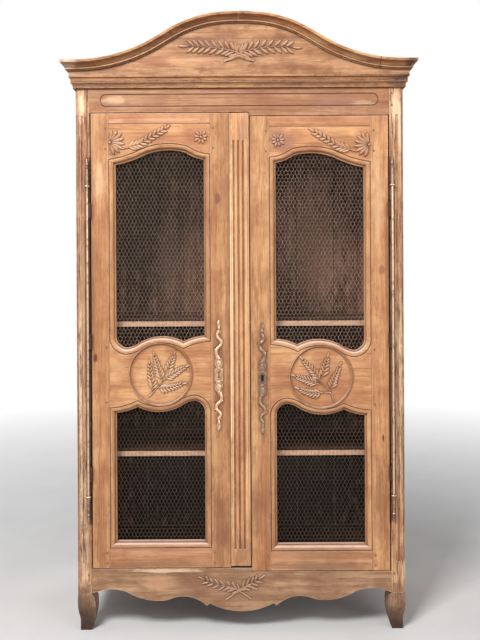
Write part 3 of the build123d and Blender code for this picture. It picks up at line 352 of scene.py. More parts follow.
@dataclass(frozen=True)
class WaxedBoard:
    """Old waxed pine: figure, fibres, clouds, worm holes, dirt and painted shade in the hollows, and worn edges with a
    painted highlight.

    Amounts are shares from 0 to 1, and lengths are in mm. bowl is the middle of a round field, oblong the half run,
    the height and the radius of an incised line with round ends, carved the face that a carving stands on and how
    proud it is, fore the painted highlight colour of faces that look to the front, and foot the height up to which
    damp has darkened the wood.
    """

    name: str
    grain: Grain
    tone: Tone
    seed: int
    figure: float = 0.35
    ragged: float = 0.3
    stain: float = 0.55
    wear: float = 0.7
    shade: float = 1.0
    cracks: float = 0.0
    blotch: float = 0.4
    dust: float = 0.7
    seams: tuple[Seam, ...] = ()
    marks: tuple[Mark, ...] = ()
    foot: float = 0.0
    bowl: Point | None = None
    oblong: tuple[float, float, float] | None = None
    carved: Point | None = None
    fore: Colour | None = None
    inner_face: float | None = None
    field_depth: float = -215.0

    @property
    def colours(self) -> tuple[Colour, ...]:
        """The tone's colours in the board's own shade."""
        return tuple(tuple(min(value * self.shade, 252) for value in colour) for colour in self.tone.value)

    def build(self) -> Material:
        """Lay out the material.

        Returns:
            The material.
        """
        graph = Graph(self.name)
        shift = (self.seed * 0.731 % 5, self.seed * 1.177 % 5, self.seed * 2.313 % 7)
        board = graph.mapping(graph.mapping(graph.place, rotation=self.grain.value), location=shift)
        pale, middle, deep, _ = self.colours
        fibre = graph.noise(board, (760, 760, 14), 2, 0.6)
        streak = graph.noise(board, (125, 125, 3.2), 4, 0.66)
        colour = graph.wash(pale, middle, graph.noise(board, (30, 30, 1.2), 3, 0.55), (0.40, 0.0), (0.60, 1.0))
        colour = graph.mix(graph.times(self.figure_lines(graph, board), self.figure), colour, deep)
        colour = graph.wash(colour, deep, streak, (0.52, 0.0), (0.74, 0.75))
        colour = graph.wash(colour, pale, streak, (0.28, 0.6), (0.46, 0.0))
        colour = self.clouds(graph, board, colour)
        colour = self.flecks(graph, board, fibre, colour)
        colour = self.dirt(graph, board, colour)
        height = graph.maths("ADD", graph.times(fibre, 0.4), graph.times(streak, 0.7))
        height = graph.maths("ADD", height, graph.noise(board, (48, 48, 20), 3))
        rough = graph.ramp(streak, (0.3, 0.42), (0.75, 0.62))
        return graph.finish(colour, rough, height, 0.0011, 0.0014, Specular_IOR_Level=0.3)

    def figure_lines(self, graph: Graph, board: Socket) -> Socket:
        """Growth rings where the saw cut them, long arches that run and close along the board.

        Args:
            graph: The material's graph.
            board: Place on the board with its fibres along Z.

        Returns:
            0 in earlywood, 1 in latewood.
        """
        swell = graph.noise(board, (8, 8, 0.7), 1, 0.4)
        fine = graph.noise(board, (40, 40, 3), 2, 0.5)
        phase = graph.maths("ADD", graph.times(swell, 95.0), graph.times(fine, 3.0))
        wave = graph.maths("ADD", graph.times(graph.maths("SINE", phase), 0.5), 0.5)
        fading = graph.ramp(graph.noise(board, (12, 12, 2), 2), (0.40, 0.15), (0.60, 1.0))
        return graph.times(graph.ramp(wave, (0.35, 0.0), (0.95, 1.0)), fading)

    def clouds(self, graph: Graph, board: Socket, colour: Socket) -> Socket:
        """Darker, redder clouds where the old finish is left, and bleached ones beside them.

        Args:
            graph: The material's graph.
            board: Place on the board with its fibres along Z.
            colour: The colour so far.

        Returns:
            The clouded colour.
        """
        pale, _, _, cloudy = self.colours
        for shift, scale, rough, stops, over in (
            ((0, 0, 0), (9, 9, 4.2), 0.62, ((0.50, 0.0), (0.66, self.stain)), cloudy),
            ((3, 1, 2), (13, 13, 3.2), 0.6, ((0.52, 0.0), (0.68, 0.55)), pale),
            ((1, 4, 2), (22, 22, 16), 0.7, ((0.56, 0.0), (0.70, self.stain * 0.8)), cloudy),
            ((2, 2, 5), (11, 11, 10), 0.6, ((0.49, 0.0), (0.62, self.blotch)), cloudy),
        ):
            shifted = graph.mapping(board, location=shift) if any(shift) else board
            colour = graph.wash(colour, over, graph.noise(shifted, scale, 5, rough), *stops)
        return colour

    def flecks(self, graph: Graph, board: Socket, fibre: Socket, colour: Socket) -> Socket:
        """Ragged dark streaks, pores along the fibres and worm holes.

        Args:
            graph: The material's graph.
            board: Place on the board with its fibres along Z.
            fibre: Noise of the fibres.
            colour: The colour so far.

        Returns:
            The flecked colour.
        """
        deep = self.colours[2]
        colour = graph.wash(colour, deep, graph.noise(board, (85, 85, 8), 6, 0.72), (0.55, 0.0), (0.63, self.ragged))
        if self.cracks:
            crack = graph.noise(graph.mapping(board, location=(4, 3, 1)), (210, 210, 13), 5, 0.7)
            colour = graph.wash(colour, (98, 58, 38), crack, (0.55, 0.0), (0.60, self.cracks))
        colour = graph.wash(colour, deep, graph.noise(board, (420, 420, 26), 1), (0.64, 0.0), (0.76, 0.5))
        colour = graph.wash(colour, deep, fibre, (0.30, 0.28), (0.55, 0.0))
        worm = graph.node("ShaderNodeTexVoronoi", {"Vector": board, "Scale": 34.0})
        rare = graph.node("ShaderNodeSeparateColor", {0: worm.outputs["Color"]}).outputs[0]
        rare = graph.ramp(rare, (0.78, 0.0), (0.8, 1.0))
        hole = graph.times(graph.ramp(worm.outputs[0], (0.035, 1.0), (0.055, 0.0)), rare)
        return graph.mix(graph.times(hole, 0.85), colour, (70, 42, 28))

    def dirt(self, graph: Graph, board: Socket, colour: Socket) -> Socket:
        """Marks of its own, some of them painted light and shade; painted light and shade by the way a face looks;
        worn edges with a painted highlight; dirt and painted shade in hollows and along the lines; painted shade low
        on a carving and a painted highlight on its ridges; and a dark foot.

        Args:
            graph: The material's graph.
            board: Place on the board with its fibres along Z.
            colour: The colour so far.

        Returns:
            The dirty colour.
        """
        fray = graph.noise(board, (90, 90, 45), 4, 0.7)
        if self.marks:
            ragged = graph.times(graph.maths("SUBTRACT", graph.noise(board, (40, 40, 16), 4, 0.65), 0.5), 1.7)
        for mark in self.marks:
            spot = graph.spot((mark.x, mark.z), (mark.half_width, mark.half_height), ragged)
            amount = graph.times(spot, mark.strength)
            if self.inner_face is not None:
                amount = graph.times(amount, graph.maths("LESS_THAN", graph.along(1), self.inner_face * MM))
            colour = graph.mix(amount, colour, mark.colour)
        colour = self.weather(graph, fray, colour)
        # Paler near edges: wear, and a painted highlight band on rounded mouldings
        rub = graph.times(graph.edges(0.0045), graph.ramp(fray, (0.38, 0.0), (0.56, self.wear)))
        colour = graph.mix(rub, colour, WORN_EDGE)
        # Darker in hollows, beside proud parts and under overhangs: dirt and painted shade
        hollow = graph.ramp(graph.hollows(0.013), (0.42, 0.95), (0.97, 0.0))
        hollow = graph.times(hollow, graph.ramp(fray, (0.30, 0.75), (0.55, 1.0)))
        colour = self.lines(graph, fray, graph.mix(hollow, colour, (84, 46, 28)))
        if self.carved:
            # Painted shade low on the carving near the face it stands on, and a painted highlight on its top
            face, height = (value * MM for value in self.carved)
            proud = graph.maths("DIVIDE", graph.maths("SUBTRACT", face, graph.along(1)), height)
            colour = graph.wash(colour, (96, 54, 32), proud, (0.34, 0.9), (0.54, 0.0))
            colour = graph.wash(colour, (236, 184, 138), proud, (0.62, 0.0), (0.80, 0.3))
        if self.foot:
            low = graph.maths("DIVIDE", graph.along(2), self.foot * MM)
            low = graph.maths("ADD", low, graph.times(graph.noise(board, (30, 30, 14), 3), 0.5))
            colour = graph.wash(colour, (60, 43, 34), low, (0.45, 0.92), (1.25, 0.0))
        return colour

    def weather(self, graph: Graph, fray: Socket, colour: Socket) -> Socket:
        """Paler where a moulding looks up, with dust and painted top light, painted shade where it looks down, and a
        painted highlight colour where a face looks to the front.

        Args:
            graph: The material's graph.
            fray: Noise that breaks it up.
            colour: The colour so far.

        Returns:
            The weathered colour.
        """
        # Upward faces paler: dust and painted top light
        up = graph.ramp(graph.facing(2), (0.15, 0.0), (0.7, self.dust))
        colour = graph.mix(graph.times(up, graph.ramp(fray, (0.3, 0.7), (0.5, 1.0))), colour, DUST)
        # Downward faces darker: painted shade
        colour = graph.wash(colour, (100, 58, 36), graph.facing(2, -1.0), (0.1, 0.0), (0.8, 0.6))
        # Faces that look to the front take a painted highlight colour
        if self.fore:
            worn = graph.ramp(graph.facing(1, -1.0), (0.6, 0.0), (0.9, 0.85))
            colour = graph.mix(graph.times(worn, graph.ramp(fray, (0.35, 0.75), (0.55, 1.0))), colour, self.fore)
        return colour

    def lines(self, graph: Graph, fray: Socket, colour: Socket) -> Socket:
        """Dirt in the seams and painted shade along the lines beside the hinge rods, in the flutes and by the strip's
        edges, dirt and painted shade in an incised oblong, and the shaded wall of a round field.

        Args:
            graph: The material's graph.
            fray: Noise that breaks it up.
            colour: The colour so far.

        Returns:
            The lined colour.
        """
        broken = graph.ramp(fray, (0.36, 0.55), (0.55, 1.0))
        # Each line is seam dirt, or painted shade beside a hinge rod, in a flute or by the meeting strip's edges
        for seam in self.seams:
            line = graph.times(graph.near(seam.axis, seam.place, seam.reach), seam.strength)
            if seam.span:
                low, high = (value * MM for value in seam.span)
                over = graph.maths("GREATER_THAN", graph.along(2), low)
                line = graph.times(line, graph.times(over, graph.maths("LESS_THAN", graph.along(2), high)))
            colour = graph.mix(graph.times(line, broken), colour, seam.colour)
        # The incised line is painted on: dirt and painted shade in its groove
        if self.oblong:
            run, middle, radius = (value * MM for value in self.oblong)
            beyond = graph.maths("SUBTRACT", graph.maths("ABSOLUTE", graph.along(0)), run)
            beyond = graph.maths("MAXIMUM", beyond, 0.0)
            above = graph.maths("SUBTRACT", graph.along(2), middle)
            away = graph.vector("LENGTH", graph.node("ShaderNodeCombineXYZ", {0: beyond, 2: above}).outputs[0])
            off = graph.maths("ABSOLUTE", graph.maths("SUBTRACT", away.outputs["Value"], radius))
            line = graph.ramp(graph.times(off, 250.0), (0.35, 0.85), (1.0, 0.0))
            colour = graph.mix(graph.times(line, broken), colour, (96, 54, 34))
        if self.bowl:
            middle = (-(self.bowl[0] + 5) * MM, 0, -self.bowl[1] * MM)
            flat = graph.vector("MULTIPLY", graph.mapping(graph.place, location=middle), (1, 0, 1)).outputs[0]
            away = graph.times(graph.vector("LENGTH", flat).outputs["Value"], 5.0)
            wall = graph.ramp(away, (0.54, 0.0), (0.61, 0.85), (0.632, 0.85), (0.64, 0.0))
            wall = graph.times(wall, graph.maths("LESS_THAN", graph.along(1), self.field_depth * MM))
            colour = graph.mix(graph.times(wall, broken), colour, (142, 92, 60))
        return colour


@dataclass(frozen=True)
class OakPeg:
    """End grain of a dark peg."""

    name: str = "peg_wood"

    def build(self) -> Material:
        """Lay out the material.

        Returns:
            The material.
        """
        graph = Graph(self.name)
        speckle = graph.noise(graph.place, (900, 900, 900), 2)
        colour = graph.wash((138, 90, 60), (172, 120, 84), speckle, (0.4, 0.0), (0.6, 1.0))
        return graph.finish(colour, 0.6, speckle, 0.0004, 0.0008, Specular_IOR_Level=0.3)


@dataclass(frozen=True)
class ForgedIron:
    """Hand-forged iron, rubbed bright on the high places and brown in the low ones.

    It has painted shade at a keyhole, painted shadow on a hinge's wings and painted shade on the sides of its rod;
    their places are in mm.
    """

    name: str
    bright: Colour
    brown: Colour
    rust: float
    keyhole: Point | None = None
    keyhole_reach: Point = (9.5, 21.0)
    wing_edge: float = 0.0

    def build(self) -> Material:
        """Lay out the material.

        Returns:
            The material.
        """
        graph = Graph(self.name)
        cloud = graph.noise(graph.place, (60, 60, 45), 4, 0.65)
        hammer = graph.noise(graph.place, (260, 260, 200), 2)
        speck = graph.noise(graph.place, (1500, 1500, 1500), 2)
        dull = graph.ramp(cloud, (0.60 - 0.3 * self.rust, 0.0), (0.82 - 0.3 * self.rust, 1.0))
        dull = graph.times(dull, graph.maths("SUBTRACT", 1.0, graph.times(graph.edges(0.0012), 0.7)))
        dull = graph.maths("MAXIMUM", dull, graph.ramp(graph.hollows(0.006), (0.42, 1.0), (0.94, 0.0)))
        colour = graph.mix(dull, self.bright, self.brown)
        colour = graph.wash(colour, (70, 48, 36), speck, (0.55, 0.0), (0.75, 0.35))
        if self.wing_edge:
            # Painted shadow on the hinge's wings, and painted shade on the rod's sides that don't face the front
            wing = graph.maths("LESS_THAN", graph.maths("ABSOLUTE", graph.along(0)), self.wing_edge * MM)
            side = graph.ramp(graph.facing(1, -1.0), (0.50, 0.9), (0.78, 0.0))
            colour = graph.mix(wing, graph.mix(side, colour, (70, 44, 32)), (72, 42, 28))
            dull = graph.maths("MAXIMUM", dull, graph.maths("MAXIMUM", side, wing))
        if self.keyhole:
            # Painted shade in and round the keyhole
            hole = graph.spot(self.keyhole, self.keyhole_reach, graph.times(speck, 0.1))
            colour = graph.mix(hole, colour, (12, 8, 6))
        graph.feed(graph.surface.inputs["Metallic"], graph.ramp(dull, (0.2, 1.0), (1.0, 0.3)))
        height = graph.maths("ADD", hammer, graph.times(speck, 0.15))
        return graph.finish(colour, graph.ramp(dull, (0.0, 0.3), (1.0, 0.62)), height, 0.0006, 0.0006)


@dataclass(frozen=True)
class ZincWire:
    """Dulled zinc of the netting's wires, darker low down."""

    name: str = "wire"
    clean: Colour = (214, 190, 168)
    dull: Colour = (146, 126, 110)
    grimy: Colour = (92, 78, 69)

    def build(self) -> Material:
        """Lay out the material.

        Returns:
            The material.
        """
        graph = Graph(self.name)
        bloom = graph.noise(graph.place, (160, 160, 160), 3)
        colour = graph.wash(self.clean, self.dull, bloom, (0.4, 0.0), (0.65, 1.0))
        # Darker towards the bottom
        colour = graph.wash(colour, self.grimy, graph.along(2), (0.86, 0.7), (1.12, 0.0))
        return graph.finish(colour, graph.ramp(bloom, (0.3, 0.4), (0.7, 0.65)), bloom, 0.0002, Metallic=0.2)


# ---------------------------------------------------------------- bench tools


def clear_bench() -> None:
    """Leave edit mode and deselect everything."""
    if bpy.context.object is not None and bpy.context.object.mode != "OBJECT":
        bpy.ops.object.mode_set(mode="OBJECT")
    bpy.ops.object.select_all(action="DESELECT")


def pick(obj: Object) -> None:
    """Make one object the only selected and active one.

    Args:
        obj: The object.
    """
    clear_bench()
    obj.select_set(True)
    bpy.context.view_layer.objects.active = obj


def edit(obj: Object, mode: str = "VERT") -> None:
    """Open an object in edit mode.

    Args:
        obj: The object.
        mode: What is selected in it.
    """
    pick(obj)
    bpy.ops.object.mode_set(mode="EDIT")
    bpy.ops.mesh.select_mode(type=mode)


def choose(test: Callable[[Vector], bool]) -> None:
    """Select vertices of the mesh in edit mode.

    Args:
        test: Whether a vertex at a place is selected.
    """
    mesh = bpy.context.object.data
    shape = bmesh.from_edit_mesh(mesh)
    for vertex in shape.verts:
        vertex.select_set(test(vertex.co))
    shape.select_flush_mode()
    bmesh.update_edit_mesh(mesh)


def choose_faces(test: Callable[[Vector, Vector], bool]) -> None:
    """Select faces of the mesh in edit mode.

    Args:
        test: Whether a face with a middle and a normal is selected.
    """
    mesh = bpy.context.object.data
    shape = bmesh.from_edit_mesh(mesh)
    for face in shape.faces:
        face.select_set(test(face.calc_center_median(), face.normal))
    bmesh.update_edit_mesh(mesh)


def close_up(obj: Object, smooth: float = 40.0) -> None:
    """Merge doubles, turn the normals out and smooth the shading.

    Args:
        obj: The mesh object.
        smooth: Faces that meet below this angle are shaded smooth, in degrees.
    """
    edit(obj)
    bpy.ops.mesh.select_all(action="SELECT")
    bpy.ops.mesh.remove_doubles(threshold=1e-6)
    bpy.ops.mesh.normals_make_consistent(inside=False)
    bpy.ops.object.mode_set(mode="OBJECT")
    bpy.ops.object.shade_smooth_by_angle(angle=math.radians(smooth))


def take_blank(obj: Object) -> Mesh:
    """Take an object's finished mesh off the bench.

    Args:
        obj: The object, which is removed.

    Returns:
        Its mesh, as a blank to copy.
    """
    if obj.mode != "OBJECT":
        bpy.ops.object.mode_set(mode="OBJECT")
    mesh = obj.data
    mesh.transform(obj.matrix_world)
    bpy.data.objects.remove(obj)
    return mesh


def on_front(place: Point, depth: float, angle: float, size: Sequence[float]) -> Matrix:
    """Matrix that lays a blank on an upright face that looks to the front.

    Args:
        place: X and Z of the blank's origin, in mm.
        depth: Y of the face, in mm.
        angle: Turn of the blank's length from X towards Z, in degrees.
        size: Scale along its length, width and height, in mm.

    Returns:
        The matrix, in metres.
    """
    turn = math.radians(angle)
    along, across = Vector((math.cos(turn), 0, math.sin(turn))), Vector((-math.sin(turn), 0, math.cos(turn)))
    axes = Matrix((along * size[0], across * size[1], Vector((0, -size[2], 0)))).transposed()
    return Matrix.Translation(Vector((place[0], depth, place[1])) * MM) @ (axes * MM).to_4x4()


def put_together(name: str, parts: Iterable[Part]) -> Object:
    """Join placed copies of blanks into one piece.

    Args:
        name: The piece's name.
        parts: Blanks and the matrices that place them.

    Returns:
        The piece.
    """
    made = []
    for mesh, matrix in parts:
        copy = mesh.copy()
        copy.transform(matrix)
        made.append(link(name, copy))
    return join_up(made)


def dress(obj: Object, material: Material) -> None:
    """Give a piece or a CAD node one material.

    Args:
        obj: The piece or node.
        material: Its finish.
    """
    if obj.material_slots:
        for slot in obj.material_slots:
            slot.material = material
    else:
        obj.data.materials.append(material)


def deliver(obj: Object, body: str, material: Material) -> None:
    """Dress a finished piece, let it ride on its body and report it.

    Args:
        obj: The piece.
        body: The body that it rides on.
        material: Its finish.
    """
    dress(obj, material)
    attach(obj, body)
    LOG.info("%s rides on %s: %d faces", obj.name, body, len(obj.data.polygons))


def link(name: str, data: bpy.types.ID) -> Object:
    """Put a mesh, curve, lamp or camera in the scene.

    Args:
        name: The object's name.
        data: The mesh, curve, lamp or camera.

    Returns:
        Its object.
    """
    obj = bpy.data.objects.new(name, data)
    bpy.context.scene.collection.objects.link(obj)
    return obj


def join_up(objects: Sequence[Object]) -> Object:
    """Apply the places of some objects and join them into the first.

    Args:
        objects: The objects.

    Returns:
        The first, with all the meshes.
    """
    clear_bench()
    for obj in objects:
        obj.select_set(True)
    bpy.context.view_layer.objects.active = objects[0]
    bpy.ops.object.transform_apply(location=True, rotation=True, scale=True)
    if len(objects) > 1:
        bpy.ops.object.join()
    return objects[0]


def smooth_line(points: Sequence[Point], count: int) -> list[Vector]:
    """Evenly numbered places on a smooth line through some points.

    Args:
        points: Points that it passes through.
        count: Number of places.

    Returns:
        The places.
    """
    ends = [Vector(point) for point in points]
    ends = [2 * ends[0] - ends[1], *ends, 2 * ends[-1] - ends[-2]]
    places = []
    for step in range(count):
        share = step / (count - 1) * (len(points) - 1)
        index = min(int(share), len(points) - 2)
        t = share - index
        a, b, c, d = ends[index : index + 4]
        square, cube = 2 * a - 5 * b + 4 * c - d, 3 * b - a - 3 * c + d
        places.append(0.5 * (2 * b + (c - a) * t + square * t * t + cube * t**3))
    return places


def heading(line: Sequence[Vector], index: int) -> float:
    """Direction of a line at one of its places, in degrees."""
    along = line[min(index + 1, len(line) - 1)] - line[max(index - 1, 0)]
    return math.degrees(math.atan2(along.y, along.x))


def half_round(line: Sequence[Vector], width: tuple[float, float], depth: float, relief: float) -> Mesh:
    """A tapered rod along a line, flattened and half sunk in an upright face.

    Args:
        line: X and Z of its places, in mm.
        width: Its width at the start and at the end, in mm.
        depth: Y of the face, in mm.
        relief: How far it stands proud, in mm.

    Returns:
        Its mesh, in place.
    """
    curve = bpy.data.curves.new("rod", "CURVE")
    curve.dimensions = "3D"
    curve.bevel_depth = 1.0
    curve.bevel_resolution = 2
    curve.use_fill_caps = True
    spline = curve.splines.new("POLY")
    spline.points.add(len(line) - 1)
    for index, (point, place) in enumerate(zip(spline.points, line)):
        share = index / (len(line) - 1)
        point.co = (place.x, 0, place.y, 1)
        point.radius = (width[0] + (width[1] - width[0]) * share) / 2
    obj = link("rod", curve)
    pick(obj)
    bpy.ops.object.convert(target="MESH")
    squeeze = Matrix.Diagonal((MM, MM * 2 * relief / max(width), MM, 1))
    obj.data.transform(Matrix.Translation((0, depth * MM, 0)) @ squeeze)
    close_up(obj, 60)
    return take_blank(obj)


# ---------------------------------------------------------------- carving


@dataclass
class CarvingBlanks:
    """The shapes that a carver repeats, leaf, petal and eye, each of unit size."""

    leaf: Mesh = field(init=False)
    petal: Mesh = field(init=False)
    eye: Mesh = field(init=False)

    def __post_init__(self) -> None:
        """Model each blank once."""
        self.leaf = self.make_leaf("leaf_blank", (0.42, 0.86), (0.42, 0.86))
        self.petal = self.make_leaf("petal_blank", (0.30, 0.55), (0.75, 1.0))
        self.eye = self.make_eye()

    def make_leaf(self, name: str, near: Point, far: Point) -> Mesh:
        """A pointed leaf with a ridge, from 0 to 1 along X.

        Args:
            name: The blank's name.
            near: How much its width shrinks at a fifteenth and a quarter of its length.
            far: The same at its other end.

        Returns:
            The blank.
        """
        middle = 0.5
        clear_bench()
        bpy.ops.mesh.primitive_circle_add(vertices=12, radius=0.5, fill_type="NGON", location=(middle, 0, -0.35))
        obj = bpy.context.object
        obj.name = name
        bpy.ops.object.transform_apply(location=True, rotation=False, scale=False)
        edit(obj)
        for low, high, narrow in (
            (0.02, 0.12, near[0]),
            (0.12, 0.35, near[1]),
            (0.65, 0.88, far[1]),
            (0.88, 0.98, far[0]),
        ):
            choose(lambda co, low=low, high=high: low < co.x < high)
            bpy.ops.transform.resize(value=(1, narrow, 1), center_override=(middle, 0, 0))
        bpy.ops.mesh.select_mode(type="FACE")
        bpy.ops.mesh.select_all(action="SELECT")
        bpy.ops.mesh.extrude_region_move(TRANSFORM_OT_translate={"value": (0, 0, 0.75)})
        bpy.ops.mesh.inset(thickness=0.11, depth=0.4)
        bpy.ops.transform.resize(value=(1.04, 0.16, 1), center_override=(middle, 0, 0))
        close_up(obj, 25)
        return take_blank(obj)

    def make_eye(self) -> Mesh:
        """A low dome of unit radius and height.

        Returns:
            The blank.
        """
        clear_bench()
        bpy.ops.mesh.primitive_uv_sphere_add(segments=12, ring_count=8, radius=1)
        obj = bpy.context.object
        edit(obj)
        bpy.ops.mesh.select_all(action="SELECT")
        bpy.ops.mesh.bisect(plane_co=(0, 0, -0.3), plane_no=(0, 0, 1), clear_inner=True, use_fill=True)
        close_up(obj, 60)
        return take_blank(obj)


@dataclass
class Sprig:
    """A carved branch or ear: a stem with pairs of leaves along it and one at its tip."""

    stem: tuple[Point, ...]
    pairs: int
    leaf: tuple[float, float]
    first: float = 0.3
    spread: float = 38.0
    thick: float = 3.6
    taper: float = 0.16

    def parts(self, blanks: CarvingBlanks, depth: float, relief: float) -> list[Part]:
        """The stem and the leaves in place.

        Args:
            blanks: The carver's blanks.
            depth: Y of the face, in mm.
            relief: Height of the leaves, in mm.

        Returns:
            Meshes and their matrices.
        """
        stem = half_round(smooth_line(self.stem, 16), (self.thick, self.thick * 0.4), depth, relief)
        found = [(stem, Matrix.Identity(4))]
        line = smooth_line(self.stem, 200)
        for pair in range(self.pairs):
            share = self.first + (0.97 - self.first) * pair / self.pairs
            index = int(share * (len(line) - 1))
            size = 1 - self.taper * pair / self.pairs
            for side in (-1, 1):
                angle = heading(line, index) + side * self.spread * (1 - self.taper * pair / self.pairs)
                root = line[index]
                scale = (self.leaf[0] * size, self.leaf[1] * size, relief)
                found.append((blanks.leaf, on_front((root.x, root.y), depth, angle, scale)))
        tip = line[-4]
        tip_size = (self.leaf[0] * 0.9, self.leaf[1] * 0.8, relief)
        found.append((blanks.leaf, on_front((tip.x, tip.y), depth, heading(line, len(line) - 4), tip_size)))
        return found


@dataclass
class Blossom:
    """A carved daisy, whole or a fan, with an eye in its middle."""

    middle: Point
    petals: tuple[tuple[float, float], ...]
    width: float
    eye: float
    gap: float = 3.0
    dome: float = 1.1

    def parts(self, blanks: CarvingBlanks, depth: float, relief: float) -> list[Part]:
        """The petals and the eye in place.

        Args:
            blanks: The carver's blanks.
            depth: Y of the face, in mm.
            relief: Height of the petals, in mm.

        Returns:
            Meshes and their matrices.
        """
        found = []
        for angle, length in self.petals:
            turn = math.radians(angle)
            root = (self.middle[0] + self.gap * math.cos(turn), self.middle[1] + self.gap * math.sin(turn))
            size = (length - self.gap, self.width, relief)
            found.append((blanks.petal, on_front(root, depth, angle, size)))
        found.append((blanks.eye, on_front(self.middle, depth, 0, (self.eye, self.eye, relief * self.dome))))
        return found


@dataclass
class Carving:
    """All the carved ornament."""

    blanks: CarvingBlanks
    boards: "Boards"
    crest_face: float = -245.0
    field_face: float = -221.0
    medallion: Point = (317.0, 1010.8)

    def branches(
        self, name: str, node: str, sprigs: Sequence[Sprig], extra: Sequence[tuple[Point, float, float]], relief: float
    ) -> None:
        """Crossed branches on a board of the case.

        Args:
            name: The piece's name.
            node: The board that they are carved on.
            sprigs: The branches.
            extra: Single leaves at the crossing: place, angle and length.
            relief: How far the carving stands proud, in mm.
        """
        depth = self.crest_face if node == "crest_board" else CASE_FACE
        parts = [part for sprig in sprigs for part in sprig.parts(self.blanks, depth, relief)]
        parts += [
            (self.blanks.leaf, on_front(place, depth, angle, (length, 11, relief))) for place, angle, length in extra
        ]
        deliver(put_together(name, parts), "carcass", self.boards.carved(node, depth, relief))

    def crest(self) -> None:
        """Two crossed branches on the bonnet."""
        right = Sprig(
            ((-58, 2240), (-30, 2255), (0, 2271), (40, 2284), (100, 2295), (164, 2297), (212, 2294)),
            10, (48, 15.5), 0.27, 45, 9,
        )
        left = Sprig(
            ((58, 2241), (30, 2256), (0, 2272), (-40, 2286), (-100, 2295), (-154, 2298), (-202, 2300)),
            10, (48, 15.5), 0.27, 45, 9,
        )
        extra = [((4, 2266), -154, 60), ((-2, 2266), -27, 60), ((6, 2273), 58, 54), ((-6, 2274), 120, 52)]
        self.branches("crest_branches", "crest_board", (left, right), extra, 5.0)

    def apron(self) -> None:
        """Two crossed branches on the apron."""
        stem = ((36, 124), (14, 140), (-14, 157), (-46, 171), (-85, 178), (-122, 189), (-146, 200))
        left = Sprig(stem, 7, (38, 13), 0.3, 42, 8)
        right = Sprig(((-62, 122), (-38, 138), (-14, 157), (16, 174), (44, 188), (68, 202)), 4, (38, 13), 0.5, 42, 9)
        extra = [((-14, 157), 8, 40), ((4, 164), 30, 46), ((-16, 160), 130, 40)]
        extra += [((-20, 160), 165, 44), ((34, 170), -18, 34)]
        self.branches("apron_branches", "apron_rail", (left, right), extra, 4.4)

    def top_rails(self) -> None:
        """A fan, a leafy branch and a daisy on each leaf's top rail."""
        fan = ((80, 50), (58, 56), (36, 60), (15, 60), (-6, 62), (-26, 60), (-46, 56), (-70, 52))
        daisy = tuple((turn * 40 + 12, 30 if turn % 2 else 26) for turn in range(9))
        branch = ((-462, 1902), (-430, 1911), (-398, 1920), (-362, 1940), (-325, 1962), (-296, 1980))
        for side, sign, drop in SIDES:
            turn = (lambda angle: angle) if sign < 0 else (lambda angle: 180 - angle)
            flowers = [
                Blossom((sign * 512, 1928 - drop), tuple((turn(angle), size) for angle, size in fan), 15, 6),
                Sprig(tuple((-sign * x, z - drop) for x, z in branch), 9, (35, 13.5), 0.16, 34, 5),
                Blossom((sign * 152, 1948 - drop), tuple((turn(angle), size) for angle, size in daisy), 12, 6),
            ]
            parts = [part for flower in flowers for part in flower.parts(self.blanks, CASE_FACE, 5.0)]
            wood = self.boards.carved(f"{side}_top_rail", CASE_FACE, 5.0)
            deliver(put_together(f"{side}_top_rail_flowers", parts), f"{side}_leaf", wood)

    def medallions(self) -> None:
        """Five ears of wheat in each round field, and the bead round it."""
        left_ears = (
            (7, ((-33, -66), (-30, -44), (-36, -16), (-40, 14), (-42, 40))),
            (7, ((6, -26), (0, -2), (-8, 24), (-15, 48), (-22, 72))),
            (5, ((24, 2), (32, 22), (40, 42), (47, 58), (52, 72))),
            (7, ((12, -22), (34, -8), (58, 6), (78, 18), (94, 26))),
            (7, ((-12, -50), (10, -54), (36, -52), (60, -46), (82, -40))),
        )
        right_ears = (
            (7, ((38, -54), (45, -30), (54, -6), (64, 16), (73, 38))),
            (5, ((4, -4), (11, 18), (17, 40), (22, 58), (26, 74))),
            (7, ((0, -16), (-16, 6), (-34, 28), (-52, 48), (-68, 66))),
            (7, ((-6, -28), (-30, -20), (-54, -12), (-76, -5), (-96, 2))),
            (7, ((8, -60), (-16, -64), (-40, -62), (-62, -56), (-82, -48))),
        )
        left_stalks = (((-48, -88), (-30, -72), (-8, -46), (14, -24), (34, -4)),)
        right_stalks = (
            ((50, -97), (45, -74), (32, -52), (12, -34), (-8, -18)),
            ((40, -64), (30, -60), (18, -60), (4, -60)),
        )
        for (side, sign, drop), ears, stalks in zip(SIDES, (left_ears, right_ears), (left_stalks, right_stalks)):
            middle = (sign * self.medallion[0], self.medallion[1] - drop)
            parts = []
            for pairs, ear in (*ears, *((0, stalk) for stalk in stalks)):
                stem = tuple((middle[0] + x, middle[1] + z) for x, z in ear)
                stalk = Sprig(stem, 0, (8, 5), thick=6.5)
                sprig = Sprig(stem, pairs, (33, 11.5), 0.1, 38, 4.4, 0.42) if pairs else stalk
                parts += sprig.parts(self.blanks, self.field_face, 5.2 if pairs else 5.4)
            wood = self.boards.carved(f"{side}_middle_rail", self.field_face, 5.2)
            deliver(put_together(f"{side}_medallion_wheat", parts), f"{side}_leaf", wood)
            self.ring(side, middle)

